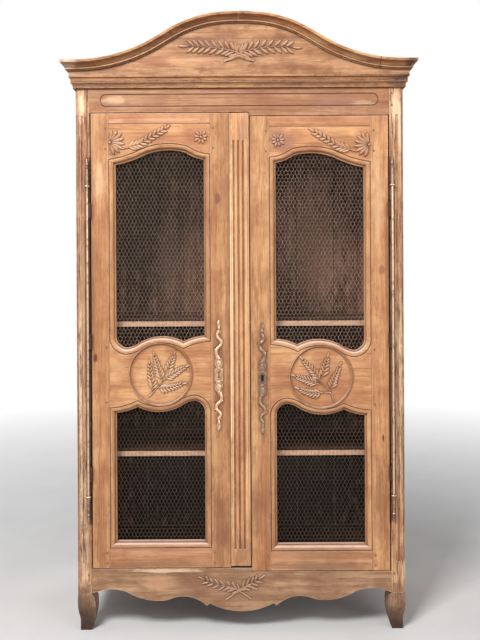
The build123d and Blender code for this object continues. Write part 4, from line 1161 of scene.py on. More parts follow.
    def ring(self, side: str, middle: Point) -> None:
        """Thin bead round a medallion.

        Args:
            side: The leaf, left or right.
            middle: X and Z of its middle, in mm.
        """
        clear_bench()
        bpy.ops.mesh.primitive_torus_add(
            location=(middle[0] * MM, CASE_FACE * MM, middle[1] * MM),
            rotation=(math.pi / 2, 0, 0),
            major_segments=120,
            minor_segments=8,
            major_radius=0.1235,
            minor_radius=0.0022,
        )
        ring = bpy.context.object
        ring.name = f"{side}_medallion_bead"
        bpy.ops.object.transform_apply(location=True, rotation=True, scale=True)
        close_up(ring, 60)
        deliver(ring, f"{side}_leaf", self.boards.made[f"{side}_middle_rail"])

    def build(self) -> None:
        """Carve everything."""
        self.crest()
        self.apron()
        self.top_rails()
        self.medallions()


# ---------------------------------------------------------------- wire netting


def arc_points(start: Point, end: Point, sagitta: float, count: int = 12) -> list[Point]:
    """Points of a flat arc.

    Args:
        start: Its first point.
        end: Where it ends, which isn't among the points.
        sagitta: How far it bulges to the left of the way.
        count: Number of points.

    Returns:
        The points.
    """
    along = Vector(end) - Vector(start)
    left = Vector((-along.y, along.x)).normalized()
    return [
        tuple(Vector(start) + along * share + left * (sagitta * 4 * share * (1 - share)))
        for share in (step / count for step in range(count))
    ]


@dataclass
class WireNetting:
    """Twisted hexagonal netting of the four openings, in mm."""

    wire: Material
    pitch: float = 14.7
    row: float = 14.6
    twist: float = 6.2
    radius: float = 0.5
    depth: float = -197.7
    lap: float = 9.0
    middle: Point = (-317.0, 1010.8)
    sides: tuple[float, float] = (-492.0, -142.0)

    def wavy_edge(self, turn: int) -> list[Point]:
        """The middle rail's wavy edge.

        Args:
            turn: 1 for the edge above, -1 for the edge below, turned about the medallion.

        Returns:
            Its points.
        """
        runs = (
            ((-175, 155.2), (-134, 105.2), -13.5),
            ((-134, 105.2), (-83, 125.2), -3.6),
            ((-83, 125.2), (91, 128.8), 22.4),
            ((91, 128.8), (175, 152.2), 3.8),
        )

        def at(point: Point) -> Point:
            """A point of the edge, measured from the medallion's middle."""
            return (self.middle[0] + turn * point[0], self.middle[1] + turn * point[1])

        found = [place for start, end, sagitta in runs for place in arc_points(at(start), at(end), sagitta)]
        return [*found, at(runs[-1][1])]

    def outline(self, upper: bool) -> list[Point]:
        """Outline of an opening of the left leaf, anticlockwise.

        Args:
            upper: Whether it is the upper opening.

        Returns:
            Its points.
        """
        left, right = self.sides
        if not upper:
            return [*self.wavy_edge(-1), (left, 351.0), (right, 351.0)]
        arch = (
            ((right, 1861), (-214, 1890), 4.6),
            ((-214, 1890), (-376, 1881), -13.3),
            ((-376, 1881), (left, 1842), 4.4),
        )
        found = [place for start, end, sagitta in arch for place in arc_points(start, end, sagitta)]
        return [*self.wavy_edge(1), *found, (left, 1842)]

    def reaches(self, point: Point, outline: Sequence[Point]) -> bool:
        """Whether a mesh of the netting is in an opening or laps its edge.

        Args:
            point: Its place.
            outline: The opening's outline.

        Returns:
            Whether it is kept.
        """
        here, inside, nearest = Vector(point), False, 1e9
        for start, end in zip(outline, [*outline[1:], outline[0]]):
            if (start[1] > here.y) != (end[1] > here.y):
                crossing = start[0] + (here.y - start[1]) / (end[1] - start[1]) * (end[0] - start[0])
                inside = inside != (here.x < crossing)
            along = Vector(end) - Vector(start)
            share = max(0.0, min(1.0, (here - Vector(start)).dot(along) / max(along.length_squared, 1e-9)))
            nearest = min(nearest, (Vector(start) + along * share - here).length)
        return inside or nearest < self.lap

    def strand(self, side: int) -> Object:
        """One of the two wires that turn round each other in an upright twist.

        Args:
            side: -1 for the left wire, 1 for the right.

        Returns:
            The wire.
        """
        clear_bench()
        steps = 6
        bpy.ops.mesh.primitive_circle_add(
            vertices=4,
            radius=self.radius * MM,
            fill_type="NGON",
            location=(side * self.radius * MM, 0, -self.twist / 2 * MM),
        )
        obj = bpy.context.object
        bpy.ops.object.transform_apply(location=True, rotation=True, scale=True)
        edit(obj, "FACE")
        bpy.ops.mesh.select_all(action="SELECT")
        for _ in range(steps):
            bpy.ops.mesh.extrude_region_move(TRANSFORM_OT_translate={"value": (0, 0, self.twist / steps * MM)})
            bpy.ops.transform.rotate(value=math.radians(90), orient_axis="Z", center_override=(0, 0, 0))
        close_up(obj, 60)
        return obj

    def slant(self, side: int) -> Object:
        """The wire from the top of a twist to the bottom of the next one above.

        Args:
            side: -1 to the left, 1 to the right.

        Returns:
            The wire.
        """
        clear_bench()
        run, rise = side * self.pitch / 2, self.row - self.twist
        bpy.ops.mesh.primitive_cylinder_add(
            vertices=4,
            radius=self.radius * MM,
            depth=(math.hypot(run, rise) + self.radius) * MM,
            location=(run / 2 * MM, 0, (self.twist + rise) / 2 * MM),
            rotation=(0, math.atan2(run, rise), 0),
        )
        obj = bpy.context.object
        bpy.ops.object.transform_apply(location=True, rotation=True, scale=True)
        close_up(obj, 60)
        return obj

    def cell(self) -> Mesh:
        """One twist with the two wires that leave its top."""
        return take_blank(join_up([self.strand(-1), self.strand(1), self.slant(-1), self.slant(1)]))

    def panel(self, cell: Mesh, upper: bool) -> Mesh:
        """The netting of one opening of the left leaf.

        Args:
            cell: The blank of one mesh.
            upper: Whether it is the upper opening.

        Returns:
            Its mesh, in place.
        """
        outline = self.outline(upper)
        low, high = min(z for _, z in outline) - self.lap, max(z for _, z in outline) + self.lap
        columns = round((self.sides[1] - self.sides[0]) / self.pitch) + 3
        courses = math.ceil((high - low) / self.row / 2) + 1
        start = (self.middle[0] - columns // 2 * self.pitch, low)
        shifts = ((0, 0), (self.pitch / 2, self.row))
        places = (Vector((start[0] + x, self.depth, start[1] + z)) * MM for x, z in shifts)
        obj = put_together("netting", [(cell, Matrix.Translation(place)) for place in places])
        pick(obj)
        for count, step in ((columns, (self.pitch, 0, 0)), (courses, (0, 0, 2 * self.row))):
            array = obj.modifiers.new("array", "ARRAY")
            array.count = count
            array.use_relative_offset = False
            array.use_constant_offset = True
            array.constant_offset_displace = Vector(step) * MM
            bpy.ops.object.modifier_apply(modifier=array.name)
        size = len(cell.vertices)
        keep = []
        for index in range(2 * columns * courses):
            pair, second = divmod(index, 2)
            course, column = divmod(pair, columns)
            place = (
                start[0] + (column + second / 2) * self.pitch,
                start[1] + (2 * course + second) * self.row,
            )
            keep.append(self.reaches(place, outline))
        edit(obj)
        shape = bmesh.from_edit_mesh(obj.data)
        for vertex in shape.verts:
            vertex.select_set(not keep[vertex.index // size])
        bmesh.update_edit_mesh(obj.data)
        bpy.ops.mesh.delete(type="VERT")
        bpy.ops.object.mode_set(mode="OBJECT")
        return take_blank(obj)

    def build(self) -> None:
        """Stretch the netting over the four openings."""
        cell = self.cell()
        to_right = Matrix.Translation((0, 0, -LEAF_DROP * MM)) @ Matrix.Diagonal((-1, 1, 1, 1))
        for level in ("upper", "lower"):
            blank = self.panel(cell, level == "upper")
            for side, matrix in (("left", Matrix.Identity(4)), ("right", to_right)):
                piece = put_together(f"{side}_{level}_wires", [(blank, matrix)])
                if side == "right":
                    edit(piece)
                    bpy.ops.mesh.select_all(action="SELECT")
                    bpy.ops.mesh.flip_normals()
                    bpy.ops.object.mode_set(mode="OBJECT")
                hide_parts(f"{side}_{level}_netting")
                deliver(piece, f"{side}_leaf", self.wire)


# ---------------------------------------------------------------- boards and fittings of the frame


# Marks of each board, as a Mark's fields; some are painted light and shade, inside the case and on the meeting strip
MARKS: dict[str, tuple[tuple, ...]] = {
    "crest_board": (
        (0, 2292, 270, 56, SMOKE, 0.5),
        (-210, 2322, 130, 26, SMOKE, 0.6),
        (190, 2330, 150, 22, SMOKE, 0.5),
        (-330, 2240, 60, 30, RUSSET, 0.6),
        (-520, 2214, 90, 16, SMOKE, 0.4),
        (-180, 2248, 110, 14, (214, 162, 122), 0.5),
        (430, 2226, 150, 26, (222, 170, 132), 0.4),
        (60, 2395, 160, 22, SMOKE, 0.4),
    ),
    "frieze_rail": (
        (-500, 2095, 62, 20, CREAM, 0.35),
        (0, 2056, 560, 9, SMOKE, 0.45),
        (380, 2080, 150, 40, BRUISE, 0.45),
        (490, 2080, 60, 14, CREAM, 0.3),
    ),
    "apron_rail": (
        (70, 190, 80, 24, SMOKE, 0.6),
        (-300, 236, 190, 9, CREAM, 0.7),
        (-120, 170, 160, 30, BRUISE, 0.3),
        (-330, 190, 90, 32, (214, 164, 128), 0.6),
        (560, 170, 60, 40, SMOKE, 0.6),
        (330, 200, 120, 30, SMOKE, 0.35),
        (-560, 170, 50, 40, SMOKE, 0.5),
    ),
    "left_front_post": (
        (-622, 2070, 20, 62, CREAM, 0.9),
        (-600, 2110, 9, 60, DARK, 0.7),
        (-636, 1890, 8, 130, DARK, 0.5),
        (-604, 1860, 9, 70, SMOKE, 0.7),
        (-622, 1300, 10, 420, CREAM, 0.55),
        (-610, 1200, 6, 330, DARK, 0.5),
        (-640, 640, 8, 240, SMOKE, 0.5),
        (-622, 140, 44, 60, (126, 88, 64), 0.85),
    ),
    "right_front_post": (
        (620, 2060, 22, 70, CREAM, 0.8),
        (634, 1960, 9, 130, CREAM, 0.7),
        (600, 1860, 9, 80, SMOKE, 0.7),
        (640, 700, 8, 240, SMOKE, 0.6),
        (622, 150, 44, 50, (132, 94, 70), 0.7),
    ),
    "left_hinge_stile": (
        (-573, 1077, 11, 18, DARK, 0.9),
        (-560, 420, 46, 190, SMOKE, 0.22),
        (-552, 1780, 30, 90, CREAM, 0.35),
        (-540, 1960, 40, 60, RUSSET, 0.4),
        (-580, 1400, 7, 380, SMOKE, 0.5),
    ),
    "left_lock_stile": (
        (-88, 1706, 15, 26, SMOKE, 0.85),
        (-60, 1740, 26, 60, RUSSET, 0.45),
        (-86, 1009, 26, 256, (132, 88, 62), 0.7),
        (-80, 420, 44, 170, SMOKE, 0.5),
        (-52, 1300, 9, 560, RUSSET, 0.5),
    ),
    "right_lock_stile": (
        (90, 995, 25, 250, SMOKE, 0.65),
        (60, 1500, 16, 300, RUSSET, 0.15),
        (96, 1170, 18, 60, (170, 110, 78), 0.6),
        (70, 480, 40, 150, SMOKE, 0.35),
    ),
    "right_hinge_stile": (
        (562, 758, 4, 16, DARK, 0.9),
        (560, 1420, 16, 22, RUSSET, 0.7),
        (560, 500, 40, 240, SMOKE, 0.45),
        (548, 1700, 24, 220, CREAM, 0.3),
        (580, 1400, 7, 420, SMOKE, 0.5),
    ),
    "left_top_rail": (
        (-286, 1996, 2.4, 17, DARK, 0.8),
        (-500, 1915, 44, 60, SMOKE, 0.5),
        (-350, 1940, 110, 34, RUSSET, 0.4),
        (-165, 1940, 50, 60, RUSSET, 0.45),
    ),
    "right_top_rail": (
        (160, 1930, 70, 60, BRUISE, 0.7),
        (380, 1930, 110, 34, RUSSET, 0.45),
        (500, 1905, 44, 60, SMOKE, 0.45),
    ),
    "left_middle_rail": ((-317, 1010, 120, 120, (240, 190, 140), 0.45), (-490, 1020, 30, 60, CREAM, 0.12)),
    "right_middle_rail": ((317, 997, 118, 118, RUSSET, 0.12), (165, 1000, 56, 80, RUSSET, 0.5)),
    "left_bottom_rail": ((-317, 262, 220, 16, (134, 106, 82), 0.55),),
    "right_bottom_rail": (
        (317, 252, 220, 20, (132, 104, 80), 0.65),
        (317, 300, 200, 30, (160, 124, 96), 0.4),
    ),
    "front_feet": ((-622, 70, 60, 74, (84, 62, 50), 0.5),),
    "meeting_strip": (
        # Painted highlights on the strip's two beads
        (-33, 1150, 8.5, 900, (255, 220, 168), 0.95),
        (27, 1150, 8, 880, (236, 184, 134), 0.5),
        (0, 300, 44, 90, SMOKE, 0.5),
        (10, 1980, 30, 60, BRUISE, 0.5),
    ),
    "left_crown_moulding": (
        (-668, 2232, 40, 30, (226, 190, 158), 0.85),
        (-420, 2270, 60, 20, (196, 148, 98), 0.5),
    ),
    "right_crown_moulding": (
        (676, 2220, 40, 56, (66, 43, 32), 0.9),
        (330, 2322, 120, 34, (214, 166, 112), 0.6),
        (500, 2258, 110, 22, (228, 182, 132), 0.55),
        (20, 2420, 40, 22, DARK, 0.4),
    ),
    "crown_returns": ((690, 2220, 40, 56, (66, 43, 32), 0.8),),
    "cornice_base_front": (
        (640, 2166, 60, 40, (74, 48, 35), 0.85),
        (-560, 2150, 160, 24, SMOKE, 0.5),
        (240, 2150, 180, 16, SMOKE, 0.4),
    ),
    "back_boards": (
        # Painted shade and light inside the case: dark low down, in the upper left opening, at the top and under the
        # shelf, and paler patches in the two upper openings
        (0, 500, 1200, 640, SOOT, 0.98),
        (-440, 1660, 210, 460, SOOT, 0.8),
        (0, 1880, 640, 90, SOOT, 0.7),
        (0, 1180, 640, 60, SOOT, 0.9),
        (330, 1540, 190, 380, (196, 148, 124), 0.8),
        (-330, 1480, 60, 240, (128, 94, 78), 0.5),
    ),
    # Painted shade low inside the case
    "floor_panel": ((0, 250, 900, 160, SOOT, 0.85),),
}


@dataclass
class Boards:
    """Finishes of all the wooden nodes of the frame."""

    made: dict[str, Material] = field(default_factory=dict)
    plans: dict[str, WaxedBoard] = field(default_factory=dict)
    shoulder: float = 592.0
    leaf_shoulders: tuple[float, float] = (-518.0, -116.0)
    strip_joint: float = 2003.0
    medallion: Point = (-317.0, 1010.8)
    strip_flutes: tuple[float, ...] = (-23.5, -5.0, 13.5)
    flute_span: Point = (322.0, 1932.0)
    rod_span: Point = (420.0, 1870.0)
    back_half: float = 598.0
    back_count: int = 7

    def paint(self, node: str, grain: Grain, tone: Tone, seed: int = 0, **settings: object) -> None:
        """Give one node a board of its own.

        Args:
            node: The node.
            grain: Which way its fibres run.
            tone: Its colours.
            seed: Its own number, where it isn't the board's place in the row.
            settings: Other fields of the board.
        """
        marks = tuple(Mark(*row) for row in MARKS.get(node, ()))
        board = WaxedBoard(node, grain, tone, seed or len(self.made) + 3, marks=marks, **settings)
        self.plans[node] = board
        self.made[node] = board.build()
        dress(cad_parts[node], self.made[node])
        LOG.info("%s: %s, %s", node, tone.name.lower(), grain.name.lower())

    def carved(self, node: str, face: float, relief: float) -> Material:
        """The wood of a board's carving.

        Args:
            node: The board that it is carved on.
            face: Y of the face that it stands on, in mm.
            relief: How far it stands proud, in mm.

        Returns:
            The material.
        """
        plan = replace(self.plans[node], name=f"{node}_carved", seams=(), bowl=None, carved=(face, relief), wear=0.4)
        return plan.build()

    def case(self) -> None:
        """Dress the posts, the rails and panels of the case and its cornice."""
        ends = (Seam(0, -self.shoulder), Seam(0, self.shoulder))
        self.paint("frieze_rail", Grain.CROSS, Tone.ROSE, seams=ends, stain=0.6, shade=0.875,
            oblong=(525.0, 2094.5, 23.5))
        self.paint("apron_rail", Grain.CROSS, Tone.APRON, seams=ends, stain=0.7, ragged=0.5, blotch=0.5)
        self.paint(
            "crest_board", Grain.CROSS, Tone.CREST, seams=(Seam(2, 2332.0, 3.0, 0.5),), figure=0.25,
            stain=0.75, shade=0.94, ragged=0.45, blotch=0.62, cracks=0.3,
        )
        ragged = {"stain": 0.7, "ragged": 0.7, "wear": 0.9, "cracks": 0.5, "dust": 0.42}
        self.paint("cornice_base_front", Grain.CROSS, Tone.CORNICE, shade=0.96, **ragged)
        self.paint("cornice_base_sides", Grain.DEEP, Tone.CORNICE, ragged=0.6, dust=0.42)
        self.paint("left_crown_moulding", Grain.CROSS, Tone.CORNICE, shade=1.08, **ragged)
        self.paint("right_crown_moulding", Grain.CROSS, Tone.CORNICE, shade=1.12, seams=(Seam(0, 553.0),), **ragged)
        self.paint("crown_returns", Grain.DEEP, Tone.CORNICE, ragged=0.6, dust=0.42)
        for (side, flip, _), shade in zip(SIDES, (1.03, 1.1)):
            shadow = (
                Seam(0, flip * 591.5, 7.5 if flip < 0 else 5.5, 1.0, self.rod_span, (58, 32, 21)),
                Seam(0, flip * 609.5, 3.4, 0.55, self.rod_span, (82, 46, 30)),
            )
            self.paint(
                f"{side}_front_post", Grain.UPRIGHT, Tone.POST, seed=17, stain=0.75, ragged=0.8, wear=0.9,
                cracks=0.85, shade=shade, seams=shadow,
            )
        self.paint(
            "front_feet", Grain.UPRIGHT, Tone.FOOT, seed=17, stain=0.8, ragged=0.8, cracks=0.6, foot=130.0, dust=0.2,
            wear=0.45, shade=0.92,
        )
        for side, _, _ in SIDES:
            self.paint(f"{side}_rear_post", Grain.UPRIGHT, Tone.POST, foot=100.0)
            for name in ("side_top_rail", "side_middle_rail", "side_bottom_rail"):
                self.paint(f"{side}_{name}", Grain.DEEP, Tone.HONEY, seams=(Seam(1, -165.0), Seam(1, 225.0)))
            self.paint(f"{side}_side_upper_panel", Grain.UPRIGHT, Tone.ROSE)
            self.paint(f"{side}_side_lower_panel", Grain.UPRIGHT, Tone.ROSE)

    def leaves(self) -> None:
        """Dress the frames of the leaves and the meeting strip."""
        for side, sign, drop in SIDES:
            flip = -sign
            shadow = (Seam(0, sign * 587.0, 3.4, 0.8, self.rod_span),)
            worn = {"cracks": 0.22, "ragged": 0.42}
            stile = 0.97 - flip * 0.02
            self.paint(f"{side}_hinge_stile", Grain.UPRIGHT, Tone.HONEY, shade=stile, seams=shadow, **worn)
            self.paint(f"{side}_lock_stile", Grain.UPRIGHT, Tone.HONEY, shade=0.935 - flip * 0.015, **worn)
            joints = tuple(Seam(0, flip * place, 2.6) for place in self.leaf_shoulders)
            under_strip = (*joints, Seam(2, self.strip_joint - drop))
            self.paint(f"{side}_top_strip", Grain.CROSS, Tone.ROSE, seams=under_strip)
            self.paint(f"{side}_top_rail", Grain.CROSS, Tone.HONEY, seams=under_strip)
            bowl = (flip * self.medallion[0], self.medallion[1] - drop)
            self.paint(f"{side}_middle_rail", Grain.CROSS, Tone.HONEY, seams=joints, bowl=bowl, shade=0.98, dust=0.95)
            self.paint(f"{side}_bottom_rail", Grain.CROSS, Tone.ROSE, seams=joints, shade=0.97, dust=0.9)
        # Painted shade in the strip's flutes and along its edges
        flutes = tuple(Seam(0, place, 4.6, 0.8, self.flute_span) for place in self.strip_flutes)
        edges = (Seam(0, -41.0, 2.2, 0.9), Seam(0, 37.0, 3.0, 0.7))
        self.paint("meeting_strip", Grain.UPRIGHT, Tone.HONEY, wear=0.9, shade=1.04, seams=(*flutes, *edges))

    def inside(self) -> None:
        """Dress what stands behind the leaves."""
        # Low shade factors paint shade inside the case; the shelves' front edges take a painted highlight colour
        for name in ("rear_top_rail", "rear_bottom_rail", "floor_panel"):
            self.paint(name, Grain.CROSS, Tone.INNER, dust=0.0, shade=0.7)
        self.paint("shelves", Grain.CROSS, Tone.INNER, dust=0.0, shade=0.62, fore=(236, 188, 154))
        self.paint("dust_panel", Grain.CROSS, Tone.BACK, dust=0.0)
        pitch = 2 * self.back_half / self.back_count
        gaps = tuple(
            Seam(0, board * pitch - self.back_half, 5.0, colour=(20, 13, 11)) for board in range(1, self.back_count)
        )
        self.paint(
            "back_boards", Grain.UPRIGHT, Tone.BACK, stain=0.8, ragged=0.6, seams=gaps, inner_face=268.0, cracks=0.3
        )
        self.paint("shelf_cleats", Grain.DEEP, Tone.INNER, dust=0.0)

    def build(self) -> None:
        """Dress every wooden node."""
        self.case()
        self.leaves()
        self.inside()


@dataclass
class Fittings:
    """Finishes of the pegs and of the forged fittings."""

    bright: Material
    dark: Material
    plate: Material
    rod: Material
    peg: Material
    hinge_axis: Point = (601.0, -234.0)
    collar_heights: tuple[float, float] = (1755.0, 532.0)

    def collars(self) -> None:
        """Beaded rings on the pintles, against the ends of the rods."""
        for side, sign, _ in SIDES:
            rings = []
            for height in self.collar_heights:
                clear_bench()
                bpy.ops.mesh.primitive_torus_add(
                    location=Vector((sign * self.hinge_axis[0], self.hinge_axis[1], height)) * MM,
                    major_segments=32,
                    minor_segments=10,
                    major_radius=0.0078,
                    minor_radius=0.0032,
                )
                rings.append(bpy.context.object)
            piece = join_up(rings)
            piece.name = f"{side}_hinge_collars"
            close_up(piece, 60)
            deliver(piece, "carcass", self.bright)

    def build(self) -> None:
        """Make the collars and dress the nodes."""
        self.collars()
        for material, nodes in (
            (self.bright, ("left_escutcheon",)),
            (self.plate, ("right_escutcheon",)),
            (self.rod, ("left_hinge_rod", "right_hinge_rod")),
            (self.peg, ("carcass_pegs", "left_door_pegs", "right_door_pegs")),
            (self.dark, ("hinge_pintles", "lock_case", "lock_bolt", "top_bolt", "bottom_bolt", "left_leaf_staples")),
        ):
            for node in nodes:
                dress(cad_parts[node], material)
                LOG.info("%s: %s", node, material.name)


@dataclass
class LockPlates:
    """Chased relief of the two long lock plates, in mm from the keyhole."""

    blanks: CarvingBlanks
    face: float = -227.0
    middles: tuple[Point, Point] = ((-86.0, 1009.0), (86.0, 995.0))
    stem_widths: Point = (14.0, 10.5)
    stem_relief: float = 5.0
    leaf_relief: float = 4.6
    stem: tuple[Point, ...] = (
        (2, 62), (-5, 72), (-9.5, 84), (-10, 95), (-6, 104), (3, 112), (9, 120), (10.5, 130), (6, 139), (-2, 146),
        (-6, 153), (-6, 161), (-2, 168), (3, 175),
    )
    rims: tuple[tuple[Point, Point], ...] = (
        ((0, 47), (14.2, 20)),
        ((-4.5, 70.5), (6.2, 6.2)),
        ((0, 170), (7, 7)),
        ((0, 47), (7.5, 11.5)),
    )
    curls: tuple[tuple[Point, float, Point], ...] = (
        ((3, 174), 100, (26, 11)),
        ((-3, 190), 84, (31, 11)),
        ((-8, 94), 128, (15, 7)),
        ((9, 128), 52, (15, 7)),
    )

    def rim(self) -> Mesh:
        """A round rim of unit radius.

        Returns:
            Its mesh.
        """
        clear_bench()
        bpy.ops.mesh.primitive_torus_add(major_segments=28, minor_segments=6, major_radius=1, minor_radius=0.17)
        close_up(bpy.context.object, 60)
        return take_blank(bpy.context.object)

    def build(self, bright: Material, dark: Material) -> None:
        """Chase both plates.

        Args:
            bright: Iron of the left plate.
            dark: Iron of the right plate.
        """
        rim = self.rim()
        for (side, sign, _), middle, iron in zip(SIDES, self.middles, (bright, dark)):
            parts = [
                (rim, on_front(middle, self.face, 0, (14.6, 25.0, 9))),
                (rim, on_front(middle, self.face, 0, (9.6, 17.5, 5))),
            ]
            for turn in (1, -1):

                def at(point: Point, turn: int = turn) -> Point:
                    """A point of the upper half, on this plate and in this half of it."""
                    return (middle[0] - sign * turn * point[0], middle[1] + turn * point[1])

                line = smooth_line([at(point) for point in self.stem], 53)
                parts.append((half_round(line, self.stem_widths, self.face, self.stem_relief), Matrix.Identity(4)))
                parts += [(rim, on_front(at(place), self.face, 0, (*size, 11))) for place, size in self.rims]
                for place, angle, size in self.curls:
                    angle = (angle if sign < 0 else 180 - angle) + (0 if turn > 0 else 180)
                    scale = (*size, self.leaf_relief)
                    parts.append((self.blanks.leaf, on_front(at(place), self.face, angle, scale)))
                parts.append((self.blanks.eye, on_front(at((0, 47)), self.face, 0, (9, 13, 2.6))))
                parts.append((self.blanks.eye, on_front(at((0, 29)), self.face, 0, (3, 3, 3.4))))
            deliver(put_together(f"{side}_plate_relief", parts), f"{side}_leaf", iron)


@dataclass
class BackWork:
    """Small work behind: tongues and nails of the back boards, staples of the netting, screws of the lock."""

    blanks: CarvingBlanks
    boards: int = 7
    half_width: float = 598.0
    board_span: tuple[float, float] = (146.0, 2142.0)
    tongue_y: tuple[float, float] = (265.5, 270.5)
    back_y: float = 274.0
    nail_rows: tuple[float, ...] = (188.0, 2100.0)
    leaf_back: float = -199.0
    lock_back: float = -179.0
    lock_screws: tuple[Point, ...] = ((53, 964), (107, 964), (53, 1038), (107, 1038))
    staple_step: float = 62.0

    def tongues(self, wood: Material) -> None:
        """Loose tongues that close the joints between the back boards.

        Args:
            wood: Their finish.
        """
        parts = []
        pitch = 2 * self.half_width / self.boards
        height = self.board_span[1] - self.board_span[0]
        for joint in range(1, self.boards):
            clear_bench()
            bpy.ops.mesh.primitive_cube_add(size=1)
            tongue = bpy.context.object
            tongue.scale = Vector((1.04, self.tongue_y[1] - self.tongue_y[0], height - 2)) * MM
            tongue.location = (
                (joint * pitch - self.half_width) * MM,
                sum(self.tongue_y) / 2 * MM,
                sum(self.board_span) / 2 * MM,
            )
            bpy.ops.object.transform_apply(location=True, rotation=True, scale=True)
            parts.append((take_blank(tongue), Matrix.Identity(4)))
        deliver(put_together("back_board_tongues", parts), "carcass", wood)

    def nails(self, iron: Material) -> None:
        """Forged nail heads that hold the back boards to their rails.

        Args:
            iron: Their finish.
        """
        pitch = 2 * self.half_width / self.boards
        turned = Matrix.Rotation(math.pi, 4, "Z")
        parts = []
        for row in self.nail_rows:
            for board in range(self.boards):
                for share in (0.18, 0.82):
                    x = (board + share) * pitch - self.half_width
                    z = row + 7 * math.sin(11 * x + row)
                    head = turned @ on_front((-x, z), -self.back_y, 0, (4.6, 4.2, 0.95))
                    parts.append((self.blanks.eye, head))
        deliver(put_together("back_board_nails", parts), "carcass", iron)

    def staples(self, netting: "WireNetting", iron: Material) -> None:
        """Staples that hold the netting to the backs of the leaves' frames.

        Args:
            netting: The netting.
            iron: Their finish.
        """
        bar = half_round([Vector((-5, 0)), Vector((5, 0))], (2.2, 2.2), 0.0, 1.6)
        for side, sign, drop in SIDES:
            parts = []
            for upper in (True, False):
                outline = [Vector(point) for point in netting.outline(upper)]
                since = 0.0
                for start, end in zip(outline, [*outline[1:], outline[0]]):
                    along = end - start
                    if along.length < 1e-6:
                        continue
                    out = Vector((along.y, -along.x)).normalized()
                    while since < along.length:
                        place = start + along.normalized() * since + out * 5
                        angle = -sign * math.degrees(math.atan2(along.y, along.x))
                        spot = (-sign * place.x, place.y - drop)
                        parts.append((bar, on_front(spot, self.leaf_back + 1.0, angle, (1 / MM,) * 3)))
                        since += self.staple_step
                    since -= along.length
            deliver(put_together(f"{side}_netting_staples", parts), f"{side}_leaf", iron)

    def screws(self, iron: Material) -> None:
        """Slotted screws of the lock case.

        Args:
            iron: Their finish.
        """
        clear_bench()
        bpy.ops.mesh.primitive_cylinder_add(vertices=20, radius=4.2, depth=1.6)
        screw = bpy.context.object
        edit(screw, "FACE")
        choose_faces(lambda middle, normal: normal.z > 0.9)
        bpy.ops.mesh.inset(thickness=0.9, depth=0.35)
        bpy.ops.mesh.bisect(plane_co=(0, 0.45, 0), plane_no=(0, 1, 0))
        choose_faces(lambda middle, normal: normal.z > 0.9 and middle.y < 0.45)
        bpy.ops.mesh.bisect(plane_co=(0, -0.45, 0), plane_no=(0, 1, 0))
        choose_faces(lambda middle, normal: normal.z > 0.9 and abs(middle.y) < 0.45 and middle.z > 1.0)
        bpy.ops.mesh.extrude_region_move(TRANSFORM_OT_translate={"value": (0, 0, -0.7)})
        close_up(screw, 30)
        blank = take_blank(screw)
        turned = Matrix.Rotation(math.pi, 4, "Z")
        parts = [
            (blank, turned @ on_front((-x, z), -self.lock_back, 20 * index, (1, 1, 1)))
            for index, (x, z) in enumerate(self.lock_screws)
        ]
        deliver(put_together("lock_case_screws", parts), "right_leaf", iron)

    def build(self, netting: "WireNetting", wood: Material, iron: Material) -> None:
        """Make it all.

        Args:
            netting: The netting that the staples hold.
            wood: The back boards' finish.
            iron: Iron of nails, staples and screws.
        """
        self.tongues(wood)
        self.nails(iron)
        self.staples(netting, iron)
        self.screws(iron)


# ---------------------------------------------------------------- studio


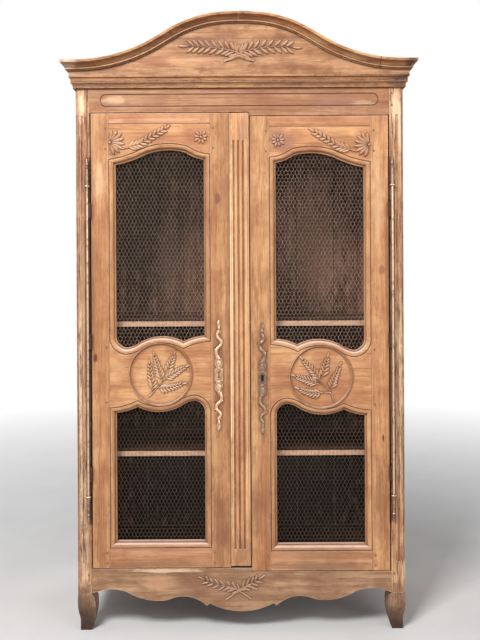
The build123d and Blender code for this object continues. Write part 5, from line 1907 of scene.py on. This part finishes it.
@dataclass
class Studio:
    """Camera, floor, lamps and world."""

    eye: tuple[float, float, float] = (0.0, -3.325, 1.450)
    lens: float = 44.16
    shift: float = -0.089
    roll: float = 0.0053
    world_level: float = 0.33
    lamps: tuple[tuple[str, tuple[float, float, float], float, float], ...] = (
        ("key", (-1.5, -3.2, 4.3), 1.4, 192.0),
        ("fill", (3.0, -3.4, 1.9), 2.8, 42.0),
    )

    def camera(self) -> None:
        """Level camera at standing height."""
        data = bpy.data.cameras.new("camera")
        data.sensor_width = 36.0
        data.lens = self.lens
        data.shift_y = self.shift
        data.clip_end = 100.0
        camera = link("camera", data)
        camera.location = self.eye
        camera.rotation_euler = (math.pi / 2, self.roll, 0)
        bpy.context.scene.camera = camera

    def floor(self) -> None:
        """Pale floor that keeps the shadow and turns white further away."""
        clear_bench()
        bpy.ops.mesh.primitive_plane_add(size=80, location=(0, 0, 0))
        floor = bpy.context.object
        floor.name = "floor"
        graph = Graph("floor")
        cloud = graph.noise(graph.place, (3, 3, 3), 3)
        colour = graph.wash((240, 240, 240), (232, 232, 232), cloud, (0.3, 0.0), (0.7, 1.0))
        material = graph.finish(colour, 0.9, Specular_IOR_Level=0.1)
        away = graph.maths("DIVIDE", graph.vector("LENGTH", graph.place).outputs["Value"], 8.0)
        seen = graph.node("ShaderNodeLightPath").outputs["Is Camera Ray"]
        glow = graph.node("ShaderNodeEmission", {"Color": (1, 1, 1, 1), "Strength": 1.0})
        fade = graph.times(graph.ramp(away, (0.16, 0.0), (0.62, 1.0)), seen)
        both = graph.node("ShaderNodeMixShader", {0: fade, 1: graph.surface.outputs[0], 2: glow.outputs[0]})
        output = next(node for node in graph.tree.nodes if node.type == "OUTPUT_MATERIAL")
        graph.feed(output.inputs["Surface"], both.outputs[0])
        dress(floor, material)

    def light(self) -> None:
        """Soft lamps, and a world that lights evenly and looks white."""
        for name, place, size, power in self.lamps:
            data = bpy.data.lights.new(name, "AREA")
            data.size = size
            data.energy = power
            lamp = link(name, data)
            lamp.location = place
            lamp.rotation_euler = (Vector((0, 0, 1.2)) - Vector(place)).to_track_quat("-Z", "Y").to_euler()
        world = bpy.data.worlds.new("studio")
        world.use_nodes = True
        bpy.context.scene.world = world
        nodes, links = world.node_tree.nodes, world.node_tree.links
        nodes.clear()
        path = nodes.new("ShaderNodeLightPath")
        lit, seen = nodes.new("ShaderNodeBackground"), nodes.new("ShaderNodeBackground")
        for background, level in ((lit, self.world_level), (seen, 1.0)):
            background.inputs["Color"].default_value = (1, 1, 1, 1)
            background.inputs["Strength"].default_value = level
        known = path.outputs["Is Camera Ray"]
        for ray in ("Is Glossy Ray", "Is Transmission Ray"):
            either = nodes.new("ShaderNodeMath")
            either.operation = "MAXIMUM"
            links.new(known, either.inputs[0])
            links.new(path.outputs[ray], either.inputs[1])
            known = either.outputs[0]
        blend, output = nodes.new("ShaderNodeMixShader"), nodes.new("ShaderNodeOutputWorld")
        for index, socket in enumerate((known, lit.outputs[0], seen.outputs[0])):
            links.new(socket, blend.inputs[index])
        links.new(blend.outputs[0], output.inputs["Surface"])

    def build(self) -> None:
        """Set the studio up."""
        self.camera()
        self.floor()
        self.light()
        bpy.context.scene.view_settings.view_transform = "Standard"


# ---------------------------------------------------------------- main


def main() -> None:
    """Build everything in order."""
    logging.basicConfig(level=logging.INFO, format="%(message)s")
    Studio().build()
    boards = Boards()
    boards.build()
    bright = ForgedIron("bright_iron", (252, 212, 174), (112, 74, 52), 0.3).build()
    dark = ForgedIron("dark_iron", (182, 152, 130), (98, 70, 54), 0.5).build()
    plate = ForgedIron("plate_iron", (190, 158, 134), (104, 76, 58), 0.45, LockPlates.middles[1]).build()
    rod = ForgedIron("rod_iron", (242, 204, 170), (102, 68, 50), 0.3, wing_edge=595.8).build()
    Fittings(bright, dark, plate, rod, OakPeg().build()).build()
    blanks = CarvingBlanks()
    Carving(blanks, boards).build()
    LockPlates(blanks).build(bright, plate)
    netting = WireNetting(ZincWire().build())
    netting.build()
    BackWork(blanks).build(netting, boards.made["back_boards"], dark)
    LOG.info("sizes written")


if __name__ == "__main__":
    main()
